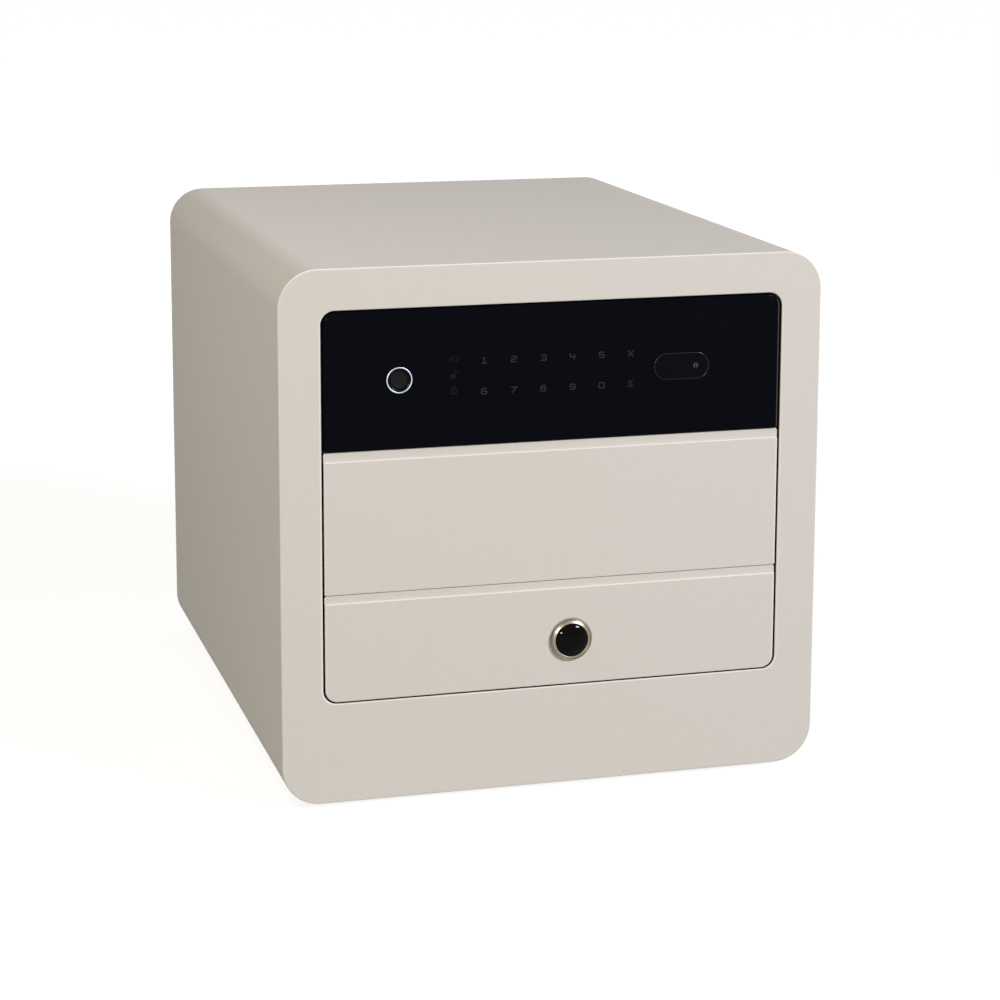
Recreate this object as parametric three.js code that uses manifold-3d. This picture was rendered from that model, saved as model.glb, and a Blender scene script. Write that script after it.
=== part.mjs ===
// An under-desk drawer safe: a steel cabinet with a touch panel over two drawers.
//
// Millimetres, +Z up, +Y towards the back. The origin lies on the floor, under the
// middle of the whole safe. Inside the cabinet group the origin is the middle of the
// front face's bottom edge, so x runs from the middle, y is the depth behind the front
// face and z is the height over the shell's underside.
//
// The cabinet is a rolled shell with a front frame and a back plate. Runner panels,
// a deck, a divider and a floor split it into two drawer bays and a bay for the lock.
// Each drawer hangs on telescopic runners of three nested rails. A motor with a pinion
// drives a rack on the bolt bar, whose two bolts drop into the upper drawer's strike
// plate. The lower drawer has a push button that lifts a latch bolt into the divider.

import * as THREE from 'three';
import { mergeVertices } from 'three/addons/utils/BufferGeometryUtils.js';
import Module from 'manifold-3d';

const wasm = await Module();
wasm.setup();

// Cabinet

const WIDTH = 400;
const HEIGHT = 384; // shell only, without the feet
const DEPTH = 480; // front face to back edge
const CORNER_RADIUS = 28;
const SHELL_WALL = 3;
const FRONT_SHEET = 3;
const BACK_SHEET = 3;
const INNER_SHEET = 1.5;
const EDGE_ROUND = 1.5; // rounded edges of the sheet on the front face
const ANCHOR_RADIUS = 6; // holes for floor and wall bolts
const ANCHOR_INSET = 80; // from the shell's sides, front and back
const WALL_ANCHOR_DROP = 84; // wall bolts below the top
const DECK_LEG_CLEAR = 18; // between the deck's legs and the floor bolts
const DIVIDER_FOLD = 12;
const DIVIDER_SETBACK = 4; // behind the drawer fronts
const DIVIDER_LIP = 3.5; // folded down at the front, where the latch bolt holds

const FOOT_HEIGHT = 3;
const FOOT_RADIUS = 14;
const FOOT_INSET = 50;

// Opening in the front frame

const SIDE_RIM = 30;
const TOP_RIM = 29.6;
const BOTTOM_RIM = 73;
const OPENING_RADIUS = 10;
const RETURN_DEPTH = 24; // the frame's fold back into the cabinet
const RETURN_SHEET = 2;

// Gaps

const SIDE_GAP = 1.25; // beside the fronts and the glass
const BOTTOM_GAP = 1;
const TOP_GAP = 0.75;
const FRONT_GAP = 0.5; // between one front and the next
const SEAT = 0.2; // between pieces that are fixed to each other
const SLIDE_FIT = 0.35; // between pieces that move in each other

// Drawer fronts

const LOWER_FRONT_HEIGHT = 77.5;
const UPPER_FRONT_HEIGHT = 102.1;
const LOWER_LIP_HEIGHT = 5.5; // set-back strip along the top edge
const UPPER_LIP_HEIGHT = 6.2;
const LIP_STEP = 1.5;
const FRONT_THICKNESS = 16;
const FRONT_SKIN = 3.5;
const FRONT_FOLD = 2; // side walls of the pressed front
const FRONT_BACK = 1.5;
const FRONT_EDGE_ROUND = 0.8;
const FRONT_CORNER = 1.2; // corner radius where two fronts meet
const FRONT_FLANGE = 8; // round the window in each front's back

// Drawer boxes

const BOX_SHEET = 1.5;
const BOX_RISE = 5; // under each box
const LOWER_HEADROOM = 8; // over the lower box
const UPPER_HEADROOM = 13; // over the upper box, where the strike plate is
const BOX_CORNER = 5;
const HEM_HEIGHT = 8;
const HEM_SHEET = 3;
const REAR_SPACE = 40; // between the boxes and the back plate
const MAT_THICKNESS = 2;
const MAT_GAP = 0.5;

// Telescopic runners

const RUNNER_HEIGHT = 45;
const RUNNER_THICKNESS = 12.7;
const RUNNER_SETBACK = 4; // behind the frame's fold
const RUNNER_SHORT = 10; // ends before the box does
const RAIL_SHEET = 1.2;
const RAIL_LIP = 3;
const CABINET_RAIL_REACH = 9.5;
const MIDDLE_RAIL_OFFSET = 3.2;
const MIDDLE_RAIL_REACH = 11.1;
const DRAWER_RAIL_OFFSET = 5.2;

// Glass and its carrier

const GLASS_THICKNESS = 4;
const GLASS_EDGE = 1;
const GLASS_LOW_RADIUS = 1.8; // the glass's bottom corners
const CARRIER_FACE = 3;
const CARRIER_WALL = 2.5;
const CARRIER_DEPTH = 16;
const CARRIER_FIT = 0.3;
const BOSS_RADIUS = 4;
const BOSS_HOLE_RADIUS = 1.5;
const BOSS_INSET = 9;
const RIB_DEPTH = 5;

// Fingerprint reader

const READER_X = -114.3;
const READER_Z = 303.7;
const READER_RADIUS = 9.7;
const READER_BEZEL = 1.3;
const READER_PROUD = 0.3;
const SENSOR_RADIUS = 6.2;
const SENSOR_SINK = 2.2;
const SENSOR_FLANGE = 1.8;

// Touch board behind the keys

const TOUCH_LEFT = -90;
const TOUCH_RIGHT = 64;
const TOUCH_HEIGHT = 44;
const TOUCH_PLUG_INSET = 50;
const TOUCH_PLUG_WIDTH = 12;
const TOUCH_PLUG_HEIGHT = 6;
const TOUCH_PLUG_DEPTH = 5;
const TOUCH_CHIP_INSET = 80;
const TOUCH_CHIP_SIZE = 10;
const CHIP_THICKNESS = 1.4;
const PART_ROOT = 0.5; // how far a board's parts reach into it
const BOARD_THICKNESS = 1.6;

// Key cover, lock cylinder and plug

const COVER_X = 93.6;
const COVER_Z = 304;
const COVER_LENGTH = 41.1;
const COVER_HEIGHT = 19;
const COVER_THICKNESS = 3.4;
const COVER_RADIUS = 8.3;
const COVER_GAP = 0.3;
const COVER_PIVOT = 3.4; // pivot pins to the right of the cover's middle
const PIVOT_PIN_RADIUS = 0.8;
const PIVOT_PIN_LENGTH = 1.5;
const PIVOT_SETBACK = 2; // pins behind the glass's front
const WELL_DEPTH = 20;
const WELL_WALL = 2;
const CYLINDER_OFFSET = 9.6; // cylinder to the left of the cover's middle
const CYLINDER_RADIUS = 7.5;
const CYLINDER_FRONT = 8;
const CYLINDER_BACK = 53;
const COLLAR_RADIUS = 11;
const COLLAR_LENGTH = 4;
const PLUG_RADIUS = 5;
const PLUG_TAIL_RADIUS = 2.7;
const PLUG_TAIL = 2; // past the cam
const KEYWAY_WIDTH = 1.6;
const KEYWAY_HEIGHT = 7;
const KEYWAY_DEPTH = 22;
const CAM_LENGTH = 18;
const CAM_WIDTH = 8;
const CAM_THICKNESS = 3;

// Bolt bar, rack and pinion

const BOLT_SETBACK = 45;
const BOLT_WIDTH = 12;
const BOLT_DEPTH = 8;
const BOLT_THROW = 12;
const BOLT_CLEAR = 3.5; // drawn bolt over the strike plate
const BAR_LENGTH = 150;
const BOLT_INSET = 15; // bolt's middle from the bar's end
const BAR_HEIGHT = 12;
const BAR_THICKNESS = 5;
const BAR_LIFT = 0.6; // under the bar when it is down
const GEAR_MODULE = 1.25;
const PINION_TEETH = 12;
const PINION_WIDTH = 6;
const PINION_X = 12;
const PINION_RISE = 10; // over the bar's top edge
const TOOTH_HEIGHT = 0.8; // over the pitch line, in modules
const TOOTH_ROOT = 1.1; // under the pitch line, in modules
const TOOTH_SHARE = 0.42; // tooth thickness as a share of the pitch
const TOOTH_SLOPE = Math.tan(THREE.MathUtils.degToRad(25));
const RACK_TEETH = 7;
const RACK_BACK = 8;
const GUIDE_WIDTH = 8;
const GUIDE_DEPTH = 14;
const GUIDE_GRIP = 4;
const GUIDE_HEIGHT = 38;

// Motor

const SHAFT_RADIUS = 1.5;
const BRACKET_SHEET = 2;
const BRACKET_GAP = 1;
const BRACKET_WIDTH = 36;
const BRACKET_FOOT = 26;
const GEARBOX_WIDTH = 22;
const GEARBOX_HEIGHT = 18;
const GEARBOX_LENGTH = 14;
const MOTOR_RADIUS = 8;
const MOTOR_LENGTH = 26;

// Strike plate

const STRIKE_SHEET = 3;
const STRIKE_LEG = 9;
const STRIKE_WIDTH = 170;
const STRIKE_DEPTH = 42;
const STRIKE_HOLE_PLAY = 2;

// Battery holder

const BATTERY_INSET = 70; // holder's middle from the opening's left side
const BATTERY_SETBACK = 90;
const CELLS = 4;
const CELL_RADIUS = 7.1;
const CELL_LENGTH = 50;
const CELL_TIP = 1.5;
const CELL_TIP_RADIUS = 2.7;
const CELL_PITCH = 15;
const CELL_END_ROOM = 2;
const HOLDER_WALL = 3;
const HOLDER_FLANGE = 5;
const HOLDER_FLANGE_SHEET = 1.5;
const COVER_GROOVE = 1.4;
const HATCH_THICKNESS = 2;
const HATCH_DROP = 0.5; // hatch below the floor plate
const HATCH_LIP = 1.4;
const GRIPS = 3; // ribs that a finger slides the hatch by
const GRIP_PITCH = 4;
const GRIP_WIDTH = 20;
const GRIP_SHEET = 1.5;
const GRIP_PROUD = 0.8;

// Control board

const CONTROL_SETBACK = 210;
const CONTROL_WIDTH = 120;
const CONTROL_LENGTH = 80;
const PILLAR_HEIGHT = 6;
const PILLAR_RADIUS = 3;
const PILLAR_INSET = 6;
const TERMINAL_INSET = 12;
const TERMINAL_SETBACK = 4;
const TERMINAL_WIDTH = 32;
const TERMINAL_SIZE = 10;
const PROCESSOR_X = 2;
const PROCESSOR_SETBACK = 30;
const PROCESSOR_SIZE = 20;
const CAPACITOR_INSET = 22;
const CAPACITOR_SETBACK = 26;
const CAPACITOR_RADIUS = 6;
const CAPACITOR_HEIGHT = 16;
const RELAY_INSET = 14;
const RELAY_SETBACK = 48;
const RELAY_WIDTH = 26;
const RELAY_DEPTH = 18;
const RELAY_HEIGHT = 8;

// Push-out spring unit behind the upper drawer

const PUSHER_RADIUS = 11;
const PUSHER_FLANGE_RADIUS = 18;
const PUSHER_FLANGE = 3;
const PUSHER_NOSE = 6; // plunger in front of its housing
const PLUNGER_RADIUS = 5;
const PLUNGER_LENGTH = 34;

// Push button and latch of the lower drawer

const BUTTON_X = 12.1;
const BUTTON_RISE = 33.3; // over the lower front's bottom edge
const BUTTON_RADIUS = 12.3;
const BUTTON_PROUD = 5;
const BUTTON_CROWN = 2.6; // height of the domed part
const BUTTON_STROKE = 4;
const BUTTON_GUIDE_RADIUS = 9;
const ROSETTE_RADIUS = 15;
const ROSETTE_LIP = 0.9; // height of the outer lip
const ROSETTE_LIP_WIDTH = 0.5;
const ROSETTE_GROOVE = 0.2;
const ROSETTE_EDGE = 0.3;
const ROSETTE_SHOULDER = 2.2;
const ROSETTE_WALL = 1;
const BARREL_LENGTH = 13;
const STEM_RADIUS = 3.5;
const LATCH_WIDTH = 10;
const LATCH_DEPTH = 6;
const LATCH_SETBACK = 9; // latch bolt behind the box's front wall
const LATCH_CLEAR = 5; // drawn latch bolt under the divider
const LATCH_LENGTH = 30;
const LATCH_HOLE_WIDTH = 46; // the hole is wide enough to reach the latch from above
const LATCH_HOLE_LENGTH = 46;
const LATCH_HOLE_PLAY = 2;
const CASE_WIDTH = 34;
const CASE_DEPTH = 24;
const CASE_HEIGHT = 50;

// Wiring between the boards

const LOOM_RADIUS = 2.5;
const LOOM_ARCH = 22;
const LOOM_LEAD = 13; // straight run out of a plug

// Facets

const CORNER_STEPS = 4; // pairs of facets in a quarter turn
const SMALL_CORNER_STEPS = 1;
const EDGE_STEPS = 2;
const CROWN_STEPS = 6; // from the button's rim to its top
const TURN_STEPS = 32; // round a turned piece
const FINE_TURN_STEPS = 40;

// Places worked out from the sizes above

const TOTAL_DEPTH = DEPTH + BUTTON_PROUD;
const openingHalf = WIDTH / 2 - SIDE_RIM;
const openingTop = HEIGHT - TOP_RIM;
const frontHalf = openingHalf - SIDE_GAP;
const lowerBottom = BOTTOM_RIM + BOTTOM_GAP;
const lowerTop = lowerBottom + LOWER_FRONT_HEIGHT;
const upperBottom = lowerTop + FRONT_GAP;
const upperTop = upperBottom + UPPER_FRONT_HEIGHT;
const glassBottom = upperTop + FRONT_GAP;
const glassTop = openingTop - TOP_GAP;

const insideHalf = WIDTH / 2 - SHELL_WALL - SEAT;
const insideBack = DEPTH - BACK_SHEET - SEAT;
const foldBack = RETURN_DEPTH + SEAT;
const deckTop = BOTTOM_RIM - RETURN_SHEET / 2;
const dividerBottom = lowerTop + (FRONT_GAP - INNER_SHEET) / 2;
const dividerTop = dividerBottom + INNER_SHEET;
const floorBottom = glassBottom + INNER_SHEET;
const floorTop = floorBottom + INNER_SHEET;
const controlTop = floorTop + PILLAR_HEIGHT + BOARD_THICKNESS;

const boxFront = FRONT_THICKNESS + SEAT;
const boxBack = DEPTH - BACK_SHEET - REAR_SPACE;
const lowerBoxBottom = lowerBottom + BOX_RISE;
const lowerBoxTop = dividerBottom - LOWER_HEADROOM;
const upperBoxBottom = dividerTop + BOX_RISE;
const upperBoxTop = floorBottom - UPPER_HEADROOM;

const panelInner = openingHalf - INNER_SHEET;
const runnerOuter = panelInner - SEAT;
const boxHalf = runnerOuter - RUNNER_THICKNESS - SEAT;
const runnerFront = RETURN_DEPTH + RUNNER_SETBACK;
const runnerBack = boxBack - RUNNER_SHORT;

const carrierFront = GLASS_THICKNESS + SEAT;
const carrierBack = carrierFront + CARRIER_DEPTH;
const carrierInner = carrierFront + CARRIER_FACE;

const touchPlugZ = (glassBottom + glassTop + TOUCH_CHIP_SIZE) / 2;

const pivotX = COVER_X + COVER_PIVOT;
const cylinderX = COVER_X - CYLINDER_OFFSET;
const wellBack = carrierFront + WELL_DEPTH;
const camFront = CYLINDER_BACK + SLIDE_FIT;

const boltHalf = BAR_LENGTH / 2 - BOLT_INSET;
const strikeBottom = upperBoxTop + SEAT;
const strikeTop = strikeBottom + STRIKE_SHEET;
const boltTip = strikeTop + BOLT_CLEAR;
const barBottom = floorTop + BOLT_THROW + BAR_LIFT;
const barTop = barBottom + BAR_HEIGHT;
const pitchRadius = (GEAR_MODULE * PINION_TEETH) / 2;
const toothPitch = Math.PI * GEAR_MODULE;
const rackLine = PINION_X - pitchRadius;
const pinionZ = barTop + PINION_RISE;

const buttonZ = lowerBottom + BUTTON_RISE;
const latchTop = dividerBottom - LATCH_CLEAR;
const latchY = boxFront + BOX_SHEET + LATCH_SETBACK;

// Materials

function finish(color, roughness, metalness) {
  return new THREE.MeshStandardMaterial({ color, roughness, metalness });
}

const powderCoat = finish(0xd3cac0, 0.55, 0);
const blackGlass = finish(0x0b0b0f, 0.06, 0);
const satinNickel = finish(0xb9b3a8, 0.3, 1);
const glossBlack = finish(0x08080a, 0.08, 0);
const darkSensor = finish(0x1e1e1e, 0.4, 0);
const zincSteel = finish(0xa9adb0, 0.4, 1);
const blackPlastic = finish(0x1b1b1d, 0.6, 0);
const rubber = finish(0x222222, 0.9, 0);
const felt = finish(0x3a3a3c, 0.95, 0);
const brass = finish(0xb58e4a, 0.35, 1);
const boardGreen = finish(0x1f5a38, 0.5, 0);
const cellWrap = finish(0x5a6470, 0.4, 0.3);

// Solids: every shape starts as a three.js geometry

function solid(geometry) {
  const bare = geometry.clone();
  bare.deleteAttribute('normal');
  bare.deleteAttribute('uv');
  const merged = mergeVertices(bare, 1e-4);
  return new wasm.Manifold(
    new wasm.Mesh({
      numProp: 3,
      vertProperties: Float32Array.from(merged.attributes.position.array),
      triVerts: Uint32Array.from(merged.index.array),
    })
  );
}

// A block between two corners.
function block(x0, x1, y0, y1, z0, z1) {
  const geometry = new THREE.BoxGeometry(x1 - x0, y1 - y0, z1 - z0);
  geometry.translate((x0 + x1) / 2, (y0 + y1) / 2, (z0 + z1) / 2);
  return solid(geometry);
}

// A rectangle with round corners. The radii run from the bottom left corner round to
// the right: one number stands for all four.
function roundRect(x0, x1, y0, y1, radii) {
  const [a, b, c, d] = Array.isArray(radii) ? radii : [radii, radii, radii, radii];
  const shape = new THREE.Shape();
  shape.moveTo(x0 + a, y0);
  shape.lineTo(x1 - b, y0);
  shape.absarc(x1 - b, y0 + b, b, -Math.PI / 2, 0, false);
  shape.lineTo(x1, y1 - c);
  shape.absarc(x1 - c, y1 - c, c, 0, Math.PI / 2, false);
  shape.lineTo(x0 + d, y1);
  shape.absarc(x0 + d, y1 - d, d, Math.PI / 2, Math.PI, false);
  shape.lineTo(x0, y0 + a);
  shape.absarc(x0 + a, y0 + a, a, Math.PI, Math.PI * 1.5, false);
  return shape;
}

function polygon(points) {
  return new THREE.Shape(points.map(([x, y]) => new THREE.Vector2(x, y)));
}

// A flat shape in x and z, given depth from y0 back to y1.
function plate(shape, y0, y1, steps = CORNER_STEPS) {
  const geometry = new THREE.ExtrudeGeometry(shape, {
    depth: y1 - y0,
    bevelEnabled: false,
    curveSegments: steps,
  });
  geometry.rotateX(Math.PI / 2);
  geometry.translate(0, y1, 0);
  return solid(geometry);
}

// The same with its front edges rounded.
function softPlate(shape, y0, y1, round) {
  const geometry = new THREE.ExtrudeGeometry(shape, {
    depth: y1 - y0,
    bevelEnabled: true,
    bevelThickness: round,
    bevelSize: round,
    bevelOffset: -round,
    bevelSegments: EDGE_STEPS,
    curveSegments: CORNER_STEPS,
  });
  geometry.rotateX(Math.PI / 2);
  geometry.translate(0, y1 + round, 0);
  const trim = block(-WIDTH, WIDTH, y0 - 1, y1, -HEIGHT, 2 * HEIGHT);
  return solid(geometry).intersect(trim);
}

// A flat shape in x and y, given height from z0 up to z1.
function slab(shape, z0, z1, steps = CORNER_STEPS) {
  const geometry = new THREE.ExtrudeGeometry(shape, {
    depth: z1 - z0,
    bevelEnabled: false,
    curveSegments: steps,
  });
  geometry.translate(0, 0, z0);
  return solid(geometry);
}

// A round bar along y through (x, z).
function rodY(x, z, radius, y0, y1, steps = TURN_STEPS) {
  const geometry = new THREE.CylinderGeometry(radius, radius, y1 - y0, steps);
  geometry.translate(x, (y0 + y1) / 2, z);
  return solid(geometry);
}

// A round bar along z through (x, y).
function rodZ(x, y, radius, z0, z1, steps = TURN_STEPS) {
  const geometry = new THREE.CylinderGeometry(radius, radius, z1 - z0, steps);
  geometry.rotateX(Math.PI / 2);
  geometry.translate(x, y, (z0 + z1) / 2);
  return solid(geometry);
}

// A turned piece about the y axis through (x, z), from [radius, y] points.
function turned(x, z, points, steps = FINE_TURN_STEPS) {
  const profile = points.map(([r, y]) => new THREE.Vector2(r, y));
  const geometry = new THREE.LatheGeometry(profile, steps);
  geometry.translate(x, 0, z);
  return solid(geometry);
}

// [radius, y] points on an ellipse's quarter, from its rim to its crown on the axis.
function crown(radius, rim, top, steps) {
  const points = [];
  for (let i = 0; i <= steps; i += 1) {
    const turn = (i / steps) * (Math.PI / 2);
    points.push([radius * Math.cos(turn), rim + (top - rim) * Math.sin(turn)]);
  }
  points[steps][0] = 0;
  return points;
}

function joined(...solids) {
  return solids.reduce((whole, piece) => whole.add(piece));
}

function cut(whole, ...tools) {
  return tools.reduce((left, tool) => left.subtract(tool), whole);
}

// A named mesh from a solid.
function piece(name, body, material) {
  const { vertProperties, triVerts } = body.getMesh();
  const geometry = new THREE.BufferGeometry();
  geometry.setAttribute('position', new THREE.BufferAttribute(vertProperties, 3));
  geometry.setIndex(new THREE.BufferAttribute(triVerts, 1));
  const flat = geometry.toNonIndexed();
  flat.computeVertexNormals();
  const mesh = new THREE.Mesh(flat, material);
  mesh.name = name;
  return mesh;
}

// Cabinet shell

function shellOutline(inset) {
  const half = WIDTH / 2 - inset;
  return roundRect(-half, half, inset, HEIGHT - inset, CORNER_RADIUS - inset);
}

function floorAnchors() {
  const x = WIDTH / 2 - ANCHOR_INSET;
  const rows = [ANCHOR_INSET, DEPTH - ANCHOR_INSET];
  return [-x, x].flatMap((side) => rows.map((y) => [side, y]));
}

function outerShell() {
  const wall = plate(shellOutline(0), FRONT_SHEET, DEPTH);
  const hollow = plate(shellOutline(SHELL_WALL), 0, DEPTH + 1);
  const holes = floorAnchors().map(([x, y]) => rodZ(x, y, ANCHOR_RADIUS, -1, SHELL_WALL + 1));
  return cut(wall, hollow, ...holes);
}

function openingOutline(grow) {
  const half = openingHalf + grow;
  return roundRect(-half, half, BOTTOM_RIM - grow, openingTop + grow, OPENING_RADIUS + grow);
}

function frontFrame() {
  const face = shellOutline(0);
  face.holes.push(openingOutline(0));
  const fold = openingOutline(RETURN_SHEET);
  fold.holes.push(openingOutline(0));
  return joined(softPlate(face, 0, FRONT_SHEET, EDGE_ROUND), plate(fold, FRONT_SHEET / 2, RETURN_DEPTH));
}

function backPlate() {
  const sheet = plate(shellOutline(SHELL_WALL + SEAT), DEPTH - BACK_SHEET, DEPTH);
  const x = WIDTH / 2 - ANCHOR_INSET;
  const z = HEIGHT - WALL_ANCHOR_DROP;
  const holes = [-x, x].map((side) => rodY(side, z, ANCHOR_RADIUS, 0, DEPTH + 1));
  return cut(sheet, ...holes);
}

// The deck over the plinth stands on two folded legs.
function plinthDeck() {
  const deckBottom = deckTop - INNER_SHEET;
  const legX = WIDTH / 2 - ANCHOR_INSET - DECK_LEG_CLEAR;
  const sheet = block(-insideHalf, insideHalf, foldBack, insideBack, deckBottom, deckTop);
  const legs = [-legX, legX].map((x) =>
    block(x - INNER_SHEET / 2, x + INNER_SHEET / 2, foldBack, insideBack, SHELL_WALL + SEAT, deckTop)
  );
  return joined(sheet, ...legs);
}

function latchHole() {
  const half = LATCH_HOLE_WIDTH / 2;
  const front = latchY - LATCH_DEPTH / 2 - LATCH_HOLE_PLAY;
  const back = front + LATCH_HOLE_LENGTH;
  return block(BUTTON_X - half, BUTTON_X + half, front, back, dividerBottom - 1, dividerTop + 1);
}

// The divider's front edge is folded down, and its sides too, against the runner panels.
function drawerDivider() {
  const half = panelInner - SEAT;
  const fold = dividerBottom - DIVIDER_FOLD;
  const front = FRONT_THICKNESS + DIVIDER_SETBACK;
  const sheet = block(-half, half, front, insideBack, dividerBottom, dividerTop);
  const left = block(-half, -half + INNER_SHEET, foldBack, insideBack, fold, dividerTop);
  const right = block(half - INNER_SHEET, half, foldBack, insideBack, fold, dividerTop);
  const lip = block(-half, half, front, front + INNER_SHEET, dividerBottom - DIVIDER_LIP, dividerTop);
  return cut(joined(sheet, left, right, lip), latchHole());
}

function controlPillars() {
  const x = CONTROL_WIDTH / 2 - PILLAR_INSET;
  const rows = [CONTROL_SETBACK + PILLAR_INSET, CONTROL_SETBACK + CONTROL_LENGTH - PILLAR_INSET];
  return [-x, x].flatMap((side) =>
    rows.map((y) => rodZ(side, y, PILLAR_RADIUS, floorBottom, floorTop + PILLAR_HEIGHT - SEAT, 16))
  );
}

function headFloor() {
  const tongue = openingHalf - SEAT * 2;
  const sheet = block(-insideHalf, insideHalf, foldBack, insideBack, floorBottom, floorTop);
  const front = block(-tongue, tongue, carrierBack + SEAT, foldBack + 1, floorBottom, floorTop);
  const slots = [-boltHalf, boltHalf].map((x) => boltPrism(x, SLIDE_FIT, 0, HEIGHT));
  const holder = holderBlock(SEAT, 0, HEIGHT);
  return cut(joined(sheet, front, ...controlPillars()), ...slots, holder);
}

// Runner panels: a web with flanges folded out to the shell.
function runnerPanel(side) {
  const bottom = deckTop + SEAT;
  const top = floorBottom - SEAT;
  const section = [
    [panelInner, bottom],
    [insideHalf, bottom],
    [insideHalf, bottom + INNER_SHEET],
    [openingHalf, bottom + INNER_SHEET],
    [openingHalf, top - INNER_SHEET],
    [insideHalf, top - INNER_SHEET],
    [insideHalf, top],
    [panelInner, top],
  ];
  return plate(polygon(section.map(([x, z]) => [side * x, z])), foldBack, insideBack);
}

function foot() {
  return rodZ(0, 0, FOOT_RADIUS, 0, FOOT_HEIGHT);
}

// Telescopic runners. Sections run inward from the runner's outer face, and are the same
// above and below its middle.

function railSolid(half, side, middle, front, back) {
  const upper = half.map(([inward, up]) => [side * (runnerOuter - inward), middle + up]);
  const lower = half.map(([inward, up]) => [side * (runnerOuter - inward), middle - up]);
  return plate(polygon([...upper, ...lower.reverse()]), front, back);
}

function cabinetRail(side, middle) {
  const top = RUNNER_HEIGHT / 2;
  const reach = CABINET_RAIL_REACH;
  const half = [
    [0, top],
    [reach, top],
    [reach, top - RAIL_LIP],
    [reach - RAIL_SHEET, top - RAIL_LIP],
    [reach - RAIL_SHEET, top - RAIL_SHEET],
    [RAIL_SHEET, top - RAIL_SHEET],
  ];
  return railSolid(half, side, middle, runnerFront, runnerBack);
}

function middleRail(side, middle) {
  const top = RUNNER_HEIGHT / 2 - RAIL_SHEET - SLIDE_FIT;
  const low = RUNNER_HEIGHT / 2 - RAIL_LIP - SLIDE_FIT;
  const step = CABINET_RAIL_REACH - RAIL_SHEET - SLIDE_FIT;
  const half = [
    [MIDDLE_RAIL_OFFSET, top],
    [step, top],
    [step, low],
    [MIDDLE_RAIL_REACH, low],
    [MIDDLE_RAIL_REACH, low - RAIL_SHEET],
    [step - RAIL_SHEET, low - RAIL_SHEET],
    [step - RAIL_SHEET, top - RAIL_SHEET],
    [MIDDLE_RAIL_OFFSET + RAIL_SHEET, top - RAIL_SHEET],
  ];
  return railSolid(half, side, middle, runnerFront, runnerBack);
}

function drawerRail(side, middle) {
  const top = RUNNER_HEIGHT / 2 - RAIL_LIP - RAIL_SHEET - 2 * SLIDE_FIT;
  const web = RUNNER_THICKNESS - RAIL_SHEET;
  const half = [
    [RUNNER_THICKNESS, top],
    [DRAWER_RAIL_OFFSET, top],
    [DRAWER_RAIL_OFFSET, top - RAIL_SHEET],
    [web, top - RAIL_SHEET],
  ];
  return railSolid(half, side, middle, runnerFront, runnerBack);
}

// Drawer fronts: pressed steel, with a set-back lip along the top edge.

function drawerFront(bottom, height, lip, corner) {
  const top = bottom + height;
  const small = FRONT_CORNER;
  const face = roundRect(-frontHalf, frontHalf, bottom, top - lip, [corner, corner, small, small]);
  const whole = roundRect(-frontHalf, frontHalf, bottom, top, [corner, corner, small, small]);
  const inner = frontHalf - FRONT_FOLD;
  const back = boxHalf - BOX_CORNER;
  const edge = FRONT_FLANGE;
  const hollow = roundRect(-inner, inner, bottom + FRONT_FOLD, top - FRONT_FOLD, small);
  return cut(
    joined(
      softPlate(face, 0, FRONT_THICKNESS, FRONT_EDGE_ROUND),
      softPlate(whole, LIP_STEP, FRONT_THICKNESS, FRONT_EDGE_ROUND)
    ),
    plate(hollow, FRONT_SKIN, FRONT_THICKNESS - FRONT_BACK),
    block(-back, back, FRONT_SKIN, FRONT_THICKNESS + 1, bottom + edge, top - edge)
  );
}

function drawerBox(bottom, top) {
  const outline = (inset) =>
    roundRect(-boxHalf + inset, boxHalf - inset, boxFront + inset, boxBack - inset, BOX_CORNER - inset);
  const steps = 2 * SMALL_CORNER_STEPS;
  return cut(
    slab(outline(0), bottom, top, steps),
    slab(outline(BOX_SHEET), bottom + BOX_SHEET, top - HEM_HEIGHT, steps),
    slab(outline(HEM_SHEET), bottom + BOX_SHEET, top + 1, steps)
  );
}

function drawerMat(boxBottom) {
  const inset = HEM_SHEET + MAT_GAP;
  const half = boxHalf - inset;
  const bottom = boxBottom + BOX_SHEET + SEAT;
  const outline = roundRect(-half, half, boxFront + inset, boxBack - inset, BOX_CORNER);
  return slab(outline, bottom, bottom + MAT_THICKNESS, SMALL_CORNER_STEPS);
}

// Bolt-work

// The room of one bolt at x, grown by a gap, from z0 up to z1.
function boltPrism(x, gap, z0, z1) {
  const half = BOLT_WIDTH / 2 + gap;
  const reach = BOLT_DEPTH / 2 + gap;
  return block(x - half, x + half, BOLT_SETBACK - reach, BOLT_SETBACK + reach, z0, z1);
}

// Teeth that point to +x from a pitch line, with their middles at heights z.
function rackTooth(line, z) {
  const tip = TOOTH_HEIGHT * GEAR_MODULE;
  const root = TOOTH_ROOT * GEAR_MODULE;
  const half = (TOOTH_SHARE * toothPitch) / 2;
  return [
    [line - root, z - half - root * TOOTH_SLOPE],
    [line + tip, z - half + tip * TOOTH_SLOPE],
    [line + tip, z + half - tip * TOOTH_SLOPE],
    [line - root, z + half + root * TOOTH_SLOPE],
  ];
}

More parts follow.
